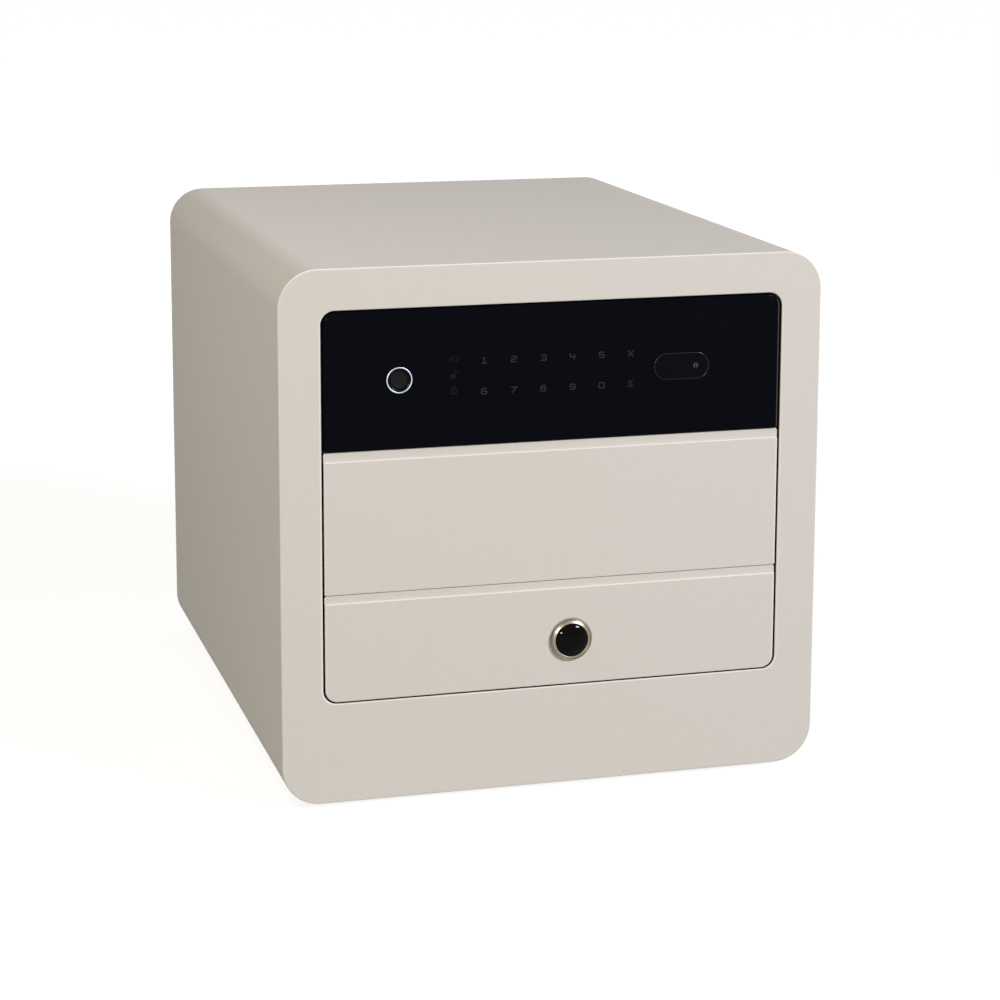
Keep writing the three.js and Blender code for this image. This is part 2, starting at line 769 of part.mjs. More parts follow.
// A bar with two flat bolts below it and a rack standing on it.
function boltBar() {
  const front = BOLT_SETBACK - BAR_THICKNESS / 2;
  const back = BOLT_SETBACK + BAR_THICKNESS / 2;
  const bar = block(-BAR_LENGTH / 2, BAR_LENGTH / 2, front, back, barBottom, barTop);
  const bolts = [-1, 1].map((side) =>
    boltPrism(side * boltHalf, 0, boltTip, barBottom + BAR_HEIGHT / 2)
  );
  const foot = rackLine - TOOTH_ROOT * GEAR_MODULE;
  const rackTop = pinionZ + (RACK_TEETH - 1) * toothPitch;
  const outline = [
    [foot - RACK_BACK, rackTop],
    [foot - RACK_BACK, barTop - 1],
    [foot, barTop - 1],
  ];
  for (let i = 0; i < RACK_TEETH; i += 1) {
    outline.push(...rackTooth(rackLine, pinionZ + (i - 1.5) * toothPitch));
  }
  outline.push([foot, rackTop]);
  return joined(bar, ...bolts, plate(polygon(outline), front, back));
}

// One tooth of the pinion lies at -x, in the rack's gap at the pinion's height.
function lockPinion() {
  const tip = pitchRadius + TOOTH_HEIGHT * GEAR_MODULE;
  const root = pitchRadius - TOOTH_ROOT * GEAR_MODULE;
  const step = (2 * Math.PI) / PINION_TEETH;
  const half = (TOOTH_SHARE * step) / 2;
  const outline = [];
  for (let i = 0; i < PINION_TEETH; i += 1) {
    const middle = Math.PI + i * step;
    const corners = [
      [root, -half * 1.3],
      [pitchRadius, -half],
      [tip, -half * 0.5],
      [tip, half * 0.5],
      [pitchRadius, half],
      [root, half * 1.3],
    ];
    for (const [radius, turn] of corners) {
      const angle = middle + turn;
      outline.push([PINION_X + radius * Math.cos(angle), pinionZ + radius * Math.sin(angle)]);
    }
  }
  const front = BOLT_SETBACK - PINION_WIDTH / 2;
  const wheel = plate(polygon(outline), front, front + PINION_WIDTH);
  return cut(wheel, rodY(PINION_X, pinionZ, SHAFT_RADIUS + SEAT, 0, DEPTH, 16));
}

function boltGuide(side) {
  const reach = GUIDE_DEPTH / 2;
  const inner = BAR_LENGTH / 2 - GUIDE_GRIP;
  const slot = BAR_THICKNESS / 2 + SLIDE_FIT;
  const end = BAR_LENGTH / 2 + SLIDE_FIT;
  const section = [
    [inner, -reach],
    [inner + GUIDE_WIDTH, -reach],
    [inner + GUIDE_WIDTH, reach],
    [inner, reach],
    [inner, slot],
    [end, slot],
    [end, -slot],
    [inner, -slot],
  ];
  const outline = polygon(section.map(([x, y]) => [side * x, BOLT_SETBACK + y]));
  return slab(outline, floorTop + SEAT, floorTop + GUIDE_HEIGHT);
}

function motorBracket() {
  const front = BOLT_SETBACK + PINION_WIDTH / 2 + BRACKET_GAP;
  const back = front + BRACKET_SHEET;
  const half = BRACKET_WIDTH / 2;
  const bottom = floorTop + SEAT;
  const top = pinionZ + GEARBOX_HEIGHT / 2;
  const leg = block(PINION_X - half, PINION_X + half, front, back, bottom, top);
  const foot = block(
    PINION_X - half, PINION_X + half, front, front + BRACKET_FOOT, bottom, bottom + BRACKET_SHEET
  );
  return cut(joined(leg, foot), rodY(PINION_X, pinionZ, SHAFT_RADIUS * 2, 0, back + 1));
}

function lockMotor() {
  const shaftFront = BOLT_SETBACK - PINION_WIDTH / 2;
  const front = BOLT_SETBACK + PINION_WIDTH / 2 + BRACKET_GAP + BRACKET_SHEET + SEAT;
  const motorFront = front + GEARBOX_LENGTH;
  const half = GEARBOX_WIDTH / 2;
  const reach = GEARBOX_HEIGHT / 2;
  const box = roundRect(PINION_X - half, PINION_X + half, pinionZ - reach, pinionZ + reach, 2);
  return joined(
    rodY(PINION_X, pinionZ, SHAFT_RADIUS, shaftFront, front + 1, 16),
    plate(box, front, motorFront, SMALL_CORNER_STEPS),
    rodY(PINION_X, pinionZ, MOTOR_RADIUS, motorFront - 1, motorFront + MOTOR_LENGTH),
    rodY(PINION_X, pinionZ, MOTOR_RADIUS / 3, motorFront, motorFront + MOTOR_LENGTH + 2)
  );
}

// The strike plate is an angle behind the upper drawer's front.
function strikePlate() {
  const half = STRIKE_WIDTH / 2;
  const back = boxFront + STRIKE_DEPTH;
  const holes = [-1, 1].map((side) =>
    boltPrism(side * boltHalf, STRIKE_HOLE_PLAY, strikeBottom - 1, strikeTop + 1)
  );
  return cut(
    joined(
      slab(roundRect(-half, half, boxFront, back, [1, 1, 6, 6]), strikeBottom, strikeTop),
      block(-half, half, boxFront, boxFront + STRIKE_SHEET, strikeBottom, strikeBottom + STRIKE_LEG)
    ),
    ...holes
  );
}

// Touch panel

function glassOutline(inset) {
  const half = frontHalf - inset;
  const corner = OPENING_RADIUS - TOP_GAP - inset;
  const low = GLASS_LOW_RADIUS;
  return roundRect(-half, half, glassBottom + inset, glassTop - inset, [low, low, corner, corner]);
}

function coverOutline(grow) {
  const half = COVER_LENGTH / 2 + grow;
  const reach = COVER_HEIGHT / 2 + grow;
  return roundRect(COVER_X - half, COVER_X + half, COVER_Z - reach, COVER_Z + reach, COVER_RADIUS + grow);
}

// Notches in the back of the glass take the cover's pivot pins.
function glassPanel() {
  const sheet = softPlate(glassOutline(0), 0, GLASS_THICKNESS, GLASS_EDGE);
  const half = PIVOT_PIN_RADIUS + SEAT;
  const reach = COVER_HEIGHT / 2 + PIVOT_PIN_LENGTH + SEAT;
  const front = PIVOT_SETBACK - half;
  return cut(
    sheet,
    rodY(READER_X, READER_Z, READER_RADIUS + SEAT, -1, GLASS_THICKNESS + 1),
    plate(coverOutline(COVER_GAP), -1, GLASS_THICKNESS + 1),
    block(pivotX - half, pivotX + half, front, GLASS_THICKNESS + 1, COVER_Z - reach, COVER_Z + reach)
  );
}

// A moulded tray behind the glass, with ribs, screw bosses and the key well.
function panelCarrier() {
  const half = openingHalf - CARRIER_FIT;
  const bottom = glassBottom + CARRIER_FIT;
  const top = openingTop - CARRIER_FIT;
  const corner = OPENING_RADIUS - CARRIER_FIT;
  const wall = CARRIER_WALL;
  const outer = roundRect(-half, half, bottom, top, [1, 1, corner, corner]);
  const inner = roundRect(
    wall - half, half - wall, bottom + wall, top - wall, [1, 1, corner - wall, corner - wall]
  );
  const tray = cut(plate(outer, carrierFront, carrierBack), plate(inner, carrierInner, carrierBack + 1));
  const well = plate(coverOutline(COVER_GAP + WELL_WALL), carrierFront, wellBack + WELL_WALL);
  const bosses = [];
  const bossHoles = [];
  for (const x of [-half + BOSS_INSET, half - BOSS_INSET]) {
    for (const z of [bottom + BOSS_INSET, top - BOSS_INSET]) {
      bosses.push(rodY(x, z, BOSS_RADIUS, carrierFront + 1, carrierBack, 16));
      bossHoles.push(rodY(x, z, BOSS_HOLE_RADIUS, carrierInner, carrierBack + 1, 12));
    }
  }
  const ribBack = carrierInner + RIB_DEPTH;
  const ribs = [TOUCH_LEFT - 2 * wall, TOUCH_RIGHT + wall].map((x) =>
    block(x, x + wall, carrierFront + 1, ribBack, bottom + wall / 2, top - wall / 2)
  );
  const pinReach = COVER_HEIGHT / 2 + PIVOT_PIN_LENGTH;
  const pinKeeper = block(
    pivotX - PIVOT_PIN_RADIUS, pivotX + PIVOT_PIN_RADIUS,
    PIVOT_SETBACK + PIVOT_PIN_RADIUS + SEAT, carrierFront + 1, COVER_Z - pinReach, COVER_Z + pinReach
  );
  return cut(
    joined(tray, well, pinKeeper, ...bosses, ...ribs),
    plate(coverOutline(COVER_GAP + SEAT / 2), 0, wellBack),
    rodY(cylinderX, COVER_Z, CYLINDER_RADIUS + SEAT, 0, DEPTH),
    rodY(READER_X, READER_Z, READER_RADIUS + SEAT, 0, DEPTH),
    ...bossHoles
  );
}

function fingerprintRing() {
  const inner = READER_RADIUS - READER_BEZEL;
  const seat = SENSOR_RADIUS + SEAT;
  const back = carrierInner - SENSOR_FLANGE - SEAT;
  return turned(READER_X, READER_Z, [
    [seat, back],
    [READER_RADIUS, back],
    [READER_RADIUS, 0],
    [READER_RADIUS - READER_PROUD, -READER_PROUD],
    [inner, -READER_PROUD],
    [inner - READER_PROUD, 0],
    [seat, SENSOR_SINK],
    [seat, back],
  ].reverse());
}

function fingerprintSensor() {
  const flange = READER_RADIUS - READER_BEZEL;
  const back = carrierInner;
  return turned(READER_X, READER_Z, [
    [0, back],
    [flange, back],
    [flange, back - SENSOR_FLANGE],
    [SENSOR_RADIUS, back - SENSOR_FLANGE],
    [SENSOR_RADIUS, SENSOR_SINK + SEAT],
    [SENSOR_RADIUS - SEAT, SENSOR_SINK],
    [0, SENSOR_SINK],
  ].reverse());
}

function touchBoard() {
  const front = carrierInner + SEAT;
  const back = front + BOARD_THICKNESS;
  const middle = (glassBottom + glassTop) / 2;
  const half = TOUCH_HEIGHT / 2;
  const board = roundRect(TOUCH_LEFT, TOUCH_RIGHT, middle - half, middle + half, 2);
  const plugLeft = TOUCH_LEFT + TOUCH_PLUG_INSET;
  const chipLeft = TOUCH_LEFT + TOUCH_CHIP_INSET;
  const chipHalf = TOUCH_CHIP_SIZE / 2;
  const plug = block(
    plugLeft, plugLeft + TOUCH_PLUG_WIDTH, back - PART_ROOT, back + TOUCH_PLUG_DEPTH,
    touchPlugZ - TOUCH_PLUG_HEIGHT / 2, touchPlugZ + TOUCH_PLUG_HEIGHT / 2
  );
  const chip = block(
    chipLeft, chipLeft + TOUCH_CHIP_SIZE, back - PART_ROOT, back + CHIP_THICKNESS,
    middle - chipHalf, middle + chipHalf
  );
  return joined(plate(board, front, back, SMALL_CORNER_STEPS), plug, chip);
}

// An oval cover on two pins: its marked end swings into the well.
function keyCover() {
  const geometry = new THREE.CylinderGeometry(
    PIVOT_PIN_RADIUS, PIVOT_PIN_RADIUS, COVER_HEIGHT + 2 * PIVOT_PIN_LENGTH, 16
  );
  geometry.rotateX(Math.PI / 2);
  geometry.translate(pivotX, PIVOT_SETBACK, COVER_Z);
  return joined(softPlate(coverOutline(0), 0, COVER_THICKNESS, COVER_GAP), solid(geometry));
}

function keyCylinder() {
  const body = rodY(cylinderX, COVER_Z, CYLINDER_RADIUS, CYLINDER_FRONT, CYLINDER_BACK);
  const collarFront = wellBack + WELL_WALL + SEAT;
  const collar = rodY(cylinderX, COVER_Z, COLLAR_RADIUS, collarFront, collarFront + COLLAR_LENGTH);
  return cut(joined(body, collar), rodY(cylinderX, COVER_Z, PLUG_RADIUS + SLIDE_FIT, 0, DEPTH));
}

function keyPlug() {
  const face = CYLINDER_FRONT - SEAT;
  const half = KEYWAY_WIDTH / 2;
  const reach = KEYWAY_HEIGHT / 2;
  const tail = camFront + CAM_THICKNESS + PLUG_TAIL;
  return cut(
    joined(
      rodY(cylinderX, COVER_Z, PLUG_RADIUS, face, CYLINDER_BACK),
      rodY(cylinderX, COVER_Z, PLUG_TAIL_RADIUS, CYLINDER_BACK - 1, tail, 16)
    ),
    block(cylinderX - half, cylinderX + half, 0, face + KEYWAY_DEPTH, COVER_Z - reach, COVER_Z + reach)
  );
}

// The cam hangs straight down from the plug's tail.
function keyCam() {
  const half = CAM_WIDTH / 2;
  const outline = roundRect(
    cylinderX - half, cylinderX + half, COVER_Z - CAM_LENGTH, COVER_Z + half, half - 0.01
  );
  const hole = rodY(cylinderX, COVER_Z, PLUG_TAIL_RADIUS + SEAT, 0, DEPTH, 16);
  return cut(plate(outline, camFront, camFront + CAM_THICKNESS, 2), hole);
}

// Battery holder, which hangs through the floor plate

const batteryX = BATTERY_INSET - openingHalf;
const holderInner = (CELLS * CELL_PITCH) / 2 + SLIDE_FIT;
const holderHalf = holderInner + HOLDER_WALL;
const holderFront = BATTERY_SETBACK;
const holderBack = BATTERY_SETBACK + CELL_LENGTH + 2 * (CELL_END_ROOM + HOLDER_WALL);
const hatchTop = floorBottom - HATCH_DROP;
const hatchBottom = hatchTop - HATCH_THICKNESS;
const cellZ = hatchTop + SLIDE_FIT + CELL_RADIUS;
const holderTop = cellZ + CELL_RADIUS + SLIDE_FIT + HOLDER_WALL;

function holderBlock(grow, z0, z1) {
  return block(
    batteryX - holderHalf - grow, batteryX + holderHalf + grow,
    holderFront - grow, holderBack + grow, z0, z1
  );
}

function batteryBox() {
  const bottom = hatchBottom - SLIDE_FIT - HATCH_LIP;
  const shelf = floorTop + SEAT;
  const groove = holderInner + COVER_GROOVE + SLIDE_FIT;
  return cut(
    joined(
      holderBlock(0, bottom, holderTop),
      holderBlock(HOLDER_FLANGE, shelf, shelf + HOLDER_FLANGE_SHEET)
    ),
    block(
      batteryX - holderInner, batteryX + holderInner,
      holderFront + HOLDER_WALL, holderBack - HOLDER_WALL, bottom - 1, holderTop - HOLDER_WALL
    ),
    block(
      batteryX - groove, batteryX + groove, holderFront + HOLDER_WALL, holderBack + 1,
      hatchBottom - SLIDE_FIT, hatchTop + SLIDE_FIT
    ),
    block(
      batteryX - holderInner, batteryX + holderInner, holderBack - HOLDER_WALL - 1, holderBack + 1,
      bottom - 1, hatchTop + SLIDE_FIT
    )
  );
}

// The hatch under the cells slides to the back in the holder's grooves.
function batteryCover() {
  const half = holderInner + COVER_GROOVE;
  const sheet = block(
    batteryX - half, batteryX + half, holderFront + HOLDER_WALL + SLIDE_FIT, holderBack,
    hatchBottom, hatchTop
  );
  const grips = [];
  for (let i = 0; i < GRIPS; i += 1) {
    const y = holderFront + HOLDER_WALL * 3 + i * GRIP_PITCH;
    grips.push(
      block(
        batteryX - GRIP_WIDTH / 2, batteryX + GRIP_WIDTH / 2, y, y + GRIP_SHEET,
        hatchBottom - GRIP_PROUD, hatchTop - HATCH_THICKNESS / 2
      )
    );
  }
  return joined(sheet, ...grips);
}

// One round cell along y, with its button end to the back.
function batteryCell() {
  const front = holderFront + HOLDER_WALL + CELL_END_ROOM;
  const back = front + CELL_LENGTH;
  const profile = [
    [0, front],
    [CELL_RADIUS, front],
    [CELL_RADIUS, back - CELL_TIP],
    [CELL_TIP_RADIUS, back - CELL_TIP],
    [CELL_TIP_RADIUS, back],
    [0, back],
  ];
  return turned(0, 0, profile, 20);
}

// Control board on pillars, with its terminal block, capacitor and processor

// A square part on the control board, from a left edge and a front edge.
function boardPart(left, width, setback, depth, height) {
  const front = CONTROL_SETBACK + setback;
  const top = controlTop;
  return block(left, left + width, front, front + depth, top - PART_ROOT, top + height);
}

function mainBoard() {
  const bottom = floorTop + PILLAR_HEIGHT;
  const top = controlTop;
  const half = CONTROL_WIDTH / 2;
  const front = CONTROL_SETBACK;
  const board = roundRect(-half, half, front, front + CONTROL_LENGTH, 3);
  return joined(
    slab(board, bottom, top, SMALL_CORNER_STEPS),
    boardPart(TERMINAL_INSET - half, TERMINAL_WIDTH, TERMINAL_SETBACK, TERMINAL_SIZE, TERMINAL_SIZE),
    boardPart(
      PROCESSOR_X - PROCESSOR_SIZE / 2, PROCESSOR_SIZE, PROCESSOR_SETBACK, PROCESSOR_SIZE,
      CHIP_THICKNESS
    ),
    rodZ(
      half - CAPACITOR_INSET, front + CAPACITOR_SETBACK, CAPACITOR_RADIUS,
      top - PART_ROOT, top + CAPACITOR_HEIGHT, 20
    ),
    boardPart(half - RELAY_INSET - RELAY_WIDTH, RELAY_WIDTH, RELAY_SETBACK, RELAY_DEPTH, RELAY_HEIGHT)
  );
}

// A curved loom from the touch board's plug to the control board's terminals.
function wiringLoom() {
  const startX = TOUCH_LEFT + TOUCH_PLUG_INSET + TOUCH_PLUG_WIDTH / 2;
  const startY = carrierInner + SEAT + BOARD_THICKNESS + TOUCH_PLUG_DEPTH + SEAT;
  const endX = TERMINAL_INSET + (TERMINAL_WIDTH - CONTROL_WIDTH) / 2;
  const endZ = controlTop + TERMINAL_SIZE + SEAT;
  const endY = CONTROL_SETBACK + TERMINAL_SETBACK + TERMINAL_SIZE / 2;
  const arch = (glassBottom + glassTop) / 2 + LOOM_ARCH;
  const path = new THREE.CatmullRomCurve3([
    new THREE.Vector3(startX, startY, touchPlugZ),
    new THREE.Vector3(startX, startY + LOOM_LEAD, touchPlugZ),
    new THREE.Vector3(startX, startY + 2 * LOOM_ARCH, arch),
    new THREE.Vector3((startX + endX) / 2, (startY + endY) / 2, arch),
    new THREE.Vector3(endX, endY - 2 * LOOM_LEAD, arch - LOOM_ARCH / 2),
    new THREE.Vector3(endX, endY, endZ + LOOM_LEAD),
    new THREE.Vector3(endX, endY, endZ),
  ]);
  const section = new THREE.Shape();
  section.absarc(0, 0, LOOM_RADIUS, 0, 2 * Math.PI, false);
  const geometry = new THREE.ExtrudeGeometry(section, {
    steps: 40,
    curveSegments: 4,
    bevelEnabled: false,
    extrudePath: path,
  });
  return solid(geometry);
}

// Push-out unit: a sprung plunger that nudges the upper drawer open

const pusherZ = (upperBoxBottom + upperBoxTop) / 2;
const plungerFront = boxBack + SEAT;

function ejectorBody() {
  const front = plungerFront + PUSHER_NOSE;
  const body = rodY(0, pusherZ, PUSHER_RADIUS, front, insideBack);
  const flange = rodY(0, pusherZ, PUSHER_FLANGE_RADIUS, insideBack - PUSHER_FLANGE, insideBack);
  const bore = plungerFront + PLUNGER_LENGTH + SLIDE_FIT;
  return cut(joined(body, flange), rodY(0, pusherZ, PLUNGER_RADIUS + SLIDE_FIT, 0, bore));
}

function ejectorPlunger() {
  const back = plungerFront + PLUNGER_LENGTH;
  return turned(0, pusherZ, [
    [0, plungerFront],
    [PLUNGER_RADIUS - 1, plungerFront],
    [PLUNGER_RADIUS, plungerFront + 1],
    [PLUNGER_RADIUS, back],
    [0, back],
  ], 24);
}

// Push button of the lower drawer

const barrelRadius = BUTTON_RADIUS + SEAT + ROSETTE_WALL;
const cupDepth = BUTTON_STROKE + SLIDE_FIT - (BUTTON_PROUD - BUTTON_CROWN - ROSETTE_SHOULDER);

// A stepped ring on the face, with a barrel through the front.
function buttonRosette() {
  const cup = BUTTON_RADIUS + SEAT;
  const bore = BUTTON_GUIDE_RADIUS + SEAT;
  const lip = ROSETTE_RADIUS;
  return turned(BUTTON_X, buttonZ, [
    [bore, BARREL_LENGTH],
    [bore, cupDepth],
    [cup, cupDepth],
    [cup, -ROSETTE_SHOULDER + ROSETTE_EDGE],
    [cup + ROSETTE_EDGE, -ROSETTE_SHOULDER],
    [cup + 3 * ROSETTE_EDGE, -ROSETTE_SHOULDER + ROSETTE_EDGE / 3],
    [lip - ROSETTE_LIP_WIDTH - 2 * ROSETTE_GROOVE, -ROSETTE_LIP - ROSETTE_GROOVE],
    [lip - ROSETTE_LIP_WIDTH - ROSETTE_GROOVE, -ROSETTE_LIP + ROSETTE_GROOVE],
    [lip - ROSETTE_LIP_WIDTH, -ROSETTE_LIP],
    [lip, -ROSETTE_LIP + ROSETTE_EDGE],
    [lip, -SEAT],
    [barrelRadius, -SEAT],
    [barrelRadius, BARREL_LENGTH],
    [bore, BARREL_LENGTH],
  ]);
}

function pushButton() {
  const rim = -BUTTON_PROUD + BUTTON_CROWN;
  const skirt = rim + ROSETTE_SHOULDER;
  const stem = boxFront + BOX_SHEET + CASE_DEPTH - HOLDER_WALL;
  const dome = crown(BUTTON_RADIUS, rim, -BUTTON_PROUD, CROWN_STEPS).reverse();
  return turned(BUTTON_X, buttonZ, [
    ...dome,
    [BUTTON_RADIUS, skirt],
    [BUTTON_GUIDE_RADIUS, skirt],
    [BUTTON_GUIDE_RADIUS, BARREL_LENGTH - BUTTON_STROKE],
    [STEM_RADIUS, BARREL_LENGTH - BUTTON_STROKE],
    [STEM_RADIUS, stem - BUTTON_STROKE],
    [0, stem - BUTTON_STROKE],
  ]);
}

function lowerFront() {
  const corner = OPENING_RADIUS - BOTTOM_GAP;
  const front = drawerFront(lowerBottom, LOWER_FRONT_HEIGHT, LOWER_LIP_HEIGHT, corner);
  return cut(front, rodY(BUTTON_X, buttonZ, barrelRadius + SEAT, -1, DEPTH));
}

function lowerBox() {
  const box = drawerBox(lowerBoxBottom, lowerBoxTop);
  const stemHole = rodY(BUTTON_X, buttonZ, STEM_RADIUS + SLIDE_FIT * 2, 0, boxFront + HEM_SHEET * 2, 16);
  return cut(box, stemHole);
}

const caseFront = boxFront + HEM_SHEET + SEAT;

function latchRoom(gap, z0, z1) {
  const half = LATCH_WIDTH / 2 + gap;
  const reach = LATCH_DEPTH / 2 + gap;
  return block(BUTTON_X - half, BUTTON_X + half, latchY - reach, latchY + reach, z0, z1);
}

function latchCase() {
  const half = CASE_WIDTH / 2;
  const top = lowerBoxTop - SEAT;
  const outline = roundRect(BUTTON_X - half, BUTTON_X + half, caseFront, caseFront + CASE_DEPTH, 3);
  const wall = CASE_DEPTH - HOLDER_WALL;
  return cut(
    slab(outline, top - CASE_HEIGHT, top, SMALL_CORNER_STEPS),
    latchRoom(SLIDE_FIT, latchTop - LATCH_LENGTH - SLIDE_FIT, top + 1),
    rodY(BUTTON_X, buttonZ, STEM_RADIUS + SLIDE_FIT, caseFront - 1, caseFront + wall)
  );
}

function latchBolt() {
  return latchRoom(0, latchTop - LATCH_LENGTH, latchTop);
}

// Assembly

const safe = new THREE.Group();
const cabinet = new THREE.Group();
cabinet.position.set(0, BUTTON_PROUD - TOTAL_DEPTH / 2, FOOT_HEIGHT);
safe.add(cabinet);

cabinet.add(
  piece('outer_shell', outerShell(), powderCoat),
  piece('front_frame', frontFrame(), powderCoat),
  piece('back_plate', backPlate(), powderCoat),
  piece('plinth_deck', plinthDeck(), zincSteel),
  piece('drawer_divider', drawerDivider(), powderCoat),
  piece('head_floor', headFloor(), zincSteel),
  piece('left_runner_panel', runnerPanel(-1), powderCoat),
  piece('right_runner_panel', runnerPanel(1), powderCoat)
);

const feet = [
  ['front_left_foot', -1, FOOT_INSET],
  ['front_right_foot', 1, FOOT_INSET],
  ['rear_left_foot', -1, DEPTH - FOOT_INSET],
  ['rear_right_foot', 1, DEPTH - FOOT_INSET],
];
for (const [name, side, y] of feet) {
  const mesh = piece(name, foot(), rubber);
  mesh.position.set(side * (WIDTH / 2 - FOOT_INSET), y, -FOOT_HEIGHT);
  cabinet.add(mesh);
}

const head = new THREE.Group();
cabinet.add(head);
head.add(
  piece('glass_panel', glassPanel(), blackGlass),
  piece('panel_carrier', panelCarrier(), blackPlastic),
  piece('fingerprint_ring', fingerprintRing(), satinNickel),
  piece('fingerprint_sensor', fingerprintSensor(), darkSensor),
  piece('touch_board', touchBoard(), boardGreen),
  piece('key_cover', keyCover(), blackGlass),
  piece('key_cylinder', keyCylinder(), zincSteel),
  piece('key_plug', keyPlug(), brass),
  piece('key_cam', keyCam(), zincSteel),
  piece('bolt_bar', boltBar(), zincSteel),
  piece('left_bolt_guide', boltGuide(-1), zincSteel),
  piece('right_bolt_guide', boltGuide(1), zincSteel),
  piece('lock_pinion', lockPinion(), brass),
  piece('motor_bracket', motorBracket(), zincSteel),
  piece('lock_motor', lockMotor(), zincSteel),
  piece('battery_box', batteryBox(), blackPlastic),
  piece('battery_cover', batteryCover(), blackPlastic),
  piece('main_board', mainBoard(), boardGreen),
  piece('wiring_loom', wiringLoom(), blackPlastic),
  piece('ejector_body', ejectorBody(), zincSteel),
  piece('ejector_plunger', ejectorPlunger(), blackPlastic)
);
for (let i = 0; i < CELLS; i += 1) {
  const mesh = piece(`battery_cell_${i + 1}`, batteryCell(), cellWrap);
  mesh.position.set(batteryX + (i - (CELLS - 1) / 2) * CELL_PITCH, 0, cellZ);
  head.add(mesh);
}

const lowerRunner = (lowerBoxBottom + lowerBoxTop) / 2;
const upperRunner = (upperBoxBottom + upperBoxTop) / 2;
for (const [level, middle] of [['upper', upperRunner], ['lower', lowerRunner]]) {
  for (const [hand, side] of [['left', -1], ['right', 1]]) {
    cabinet.add(
      piece(`${level}_${hand}_cabinet_rail`, cabinetRail(side, middle), zincSteel),
      piece(`${level}_${hand}_middle_rail`, middleRail(side, middle), zincSteel),
      piece(`${level}_${hand}_drawer_rail`, drawerRail(side, middle), zincSteel)
    );
  }
}

const upperDrawer = new THREE.Group();
cabinet.add(upperDrawer);
upperDrawer.add(
  piece(
    'upper_drawer_front',
    drawerFront(upperBottom, UPPER_FRONT_HEIGHT, UPPER_LIP_HEIGHT, FRONT_CORNER),
    powderCoat
  ),
  piece('upper_drawer_box', drawerBox(upperBoxBottom, upperBoxTop), powderCoat),
  piece('upper_drawer_mat', drawerMat(upperBoxBottom), felt),
  piece('upper_strike_plate', strikePlate(), zincSteel)
);

const lowerDrawer = new THREE.Group();
cabinet.add(lowerDrawer);
lowerDrawer.add(
  piece('lower_drawer_front', lowerFront(), powderCoat),
  piece('lower_drawer_box', lowerBox(), powderCoat),
  piece('lower_drawer_mat', drawerMat(lowerBoxBottom), felt),
  piece('button_rosette', buttonRosette(), satinNickel),
  piece('push_button', pushButton(), glossBlack),
  piece('latch_case', latchCase(), zincSteel),
  piece('latch_bolt', latchBolt(), zincSteel)
);

export default safe;
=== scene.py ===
# The look of an under-desk drawer safe, built round its solids.
#
# Shapes are written in millimetres: x to the right of the safe's middle, d the depth
# behind the front face and h the height over the shell's underside. place() turns them
# into the scene's metres.

import math

import bmesh
import bpy
from mathutils import Matrix, Vector, noise

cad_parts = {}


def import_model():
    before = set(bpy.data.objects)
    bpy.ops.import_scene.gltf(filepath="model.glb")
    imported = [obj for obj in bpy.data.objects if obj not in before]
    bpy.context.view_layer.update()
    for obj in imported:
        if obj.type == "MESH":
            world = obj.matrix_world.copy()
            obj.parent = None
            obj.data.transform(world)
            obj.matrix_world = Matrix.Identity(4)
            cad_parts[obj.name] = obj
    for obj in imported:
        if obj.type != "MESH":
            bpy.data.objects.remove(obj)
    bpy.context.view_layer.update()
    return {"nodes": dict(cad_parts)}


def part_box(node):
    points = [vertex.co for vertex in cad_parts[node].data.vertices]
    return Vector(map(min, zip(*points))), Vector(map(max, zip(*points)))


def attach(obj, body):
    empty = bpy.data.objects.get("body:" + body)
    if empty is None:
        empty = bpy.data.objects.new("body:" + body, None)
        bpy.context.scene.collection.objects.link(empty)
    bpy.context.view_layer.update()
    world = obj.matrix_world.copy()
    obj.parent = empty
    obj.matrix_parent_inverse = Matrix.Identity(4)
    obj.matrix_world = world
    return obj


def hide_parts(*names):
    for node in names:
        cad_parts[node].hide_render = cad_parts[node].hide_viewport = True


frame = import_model()

MM = 0.001
ORIGIN = Vector((0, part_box("front_frame")[0].y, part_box("outer_shell")[0].z))

# Edges

FLAT_NORMAL = -0.985  # depth part of the normal of a face that looks to the front
SHARP_ANGLE = 35  # degrees
LEAST_RADIUS = 0.1
NODE_BEVEL = 0.25
NODE_BEVEL_ANGLE = 50  # degrees

# Cabinet

CORNER_RADIUS = 28
WALL = 3
FRONT_SHEET = 3
EDGE_ROUND = 1.1
EDGE_LIGHT = 0.7  # share of the outer edge's round that is pale, a painted highlight
BACK_ROUND = 0.6
OPENING_RADIUS = 10
SIDE_GAP = 1.25
BOTTOM_GAP = 1
TOP_GAP = 0.75
RETURN_DEPTH = 24
RETURN_SHEET = 2
OPENING_ROUND = 1.0
LINING = 0.25  # thickness of the black lining inside the opening
LINING_FRONT = 1.0
LINING_BACK = 18.2
LINING_EDGE = 0.2
ANCHOR_RADIUS = 6
ANCHOR_INSET = 80

# Drawers

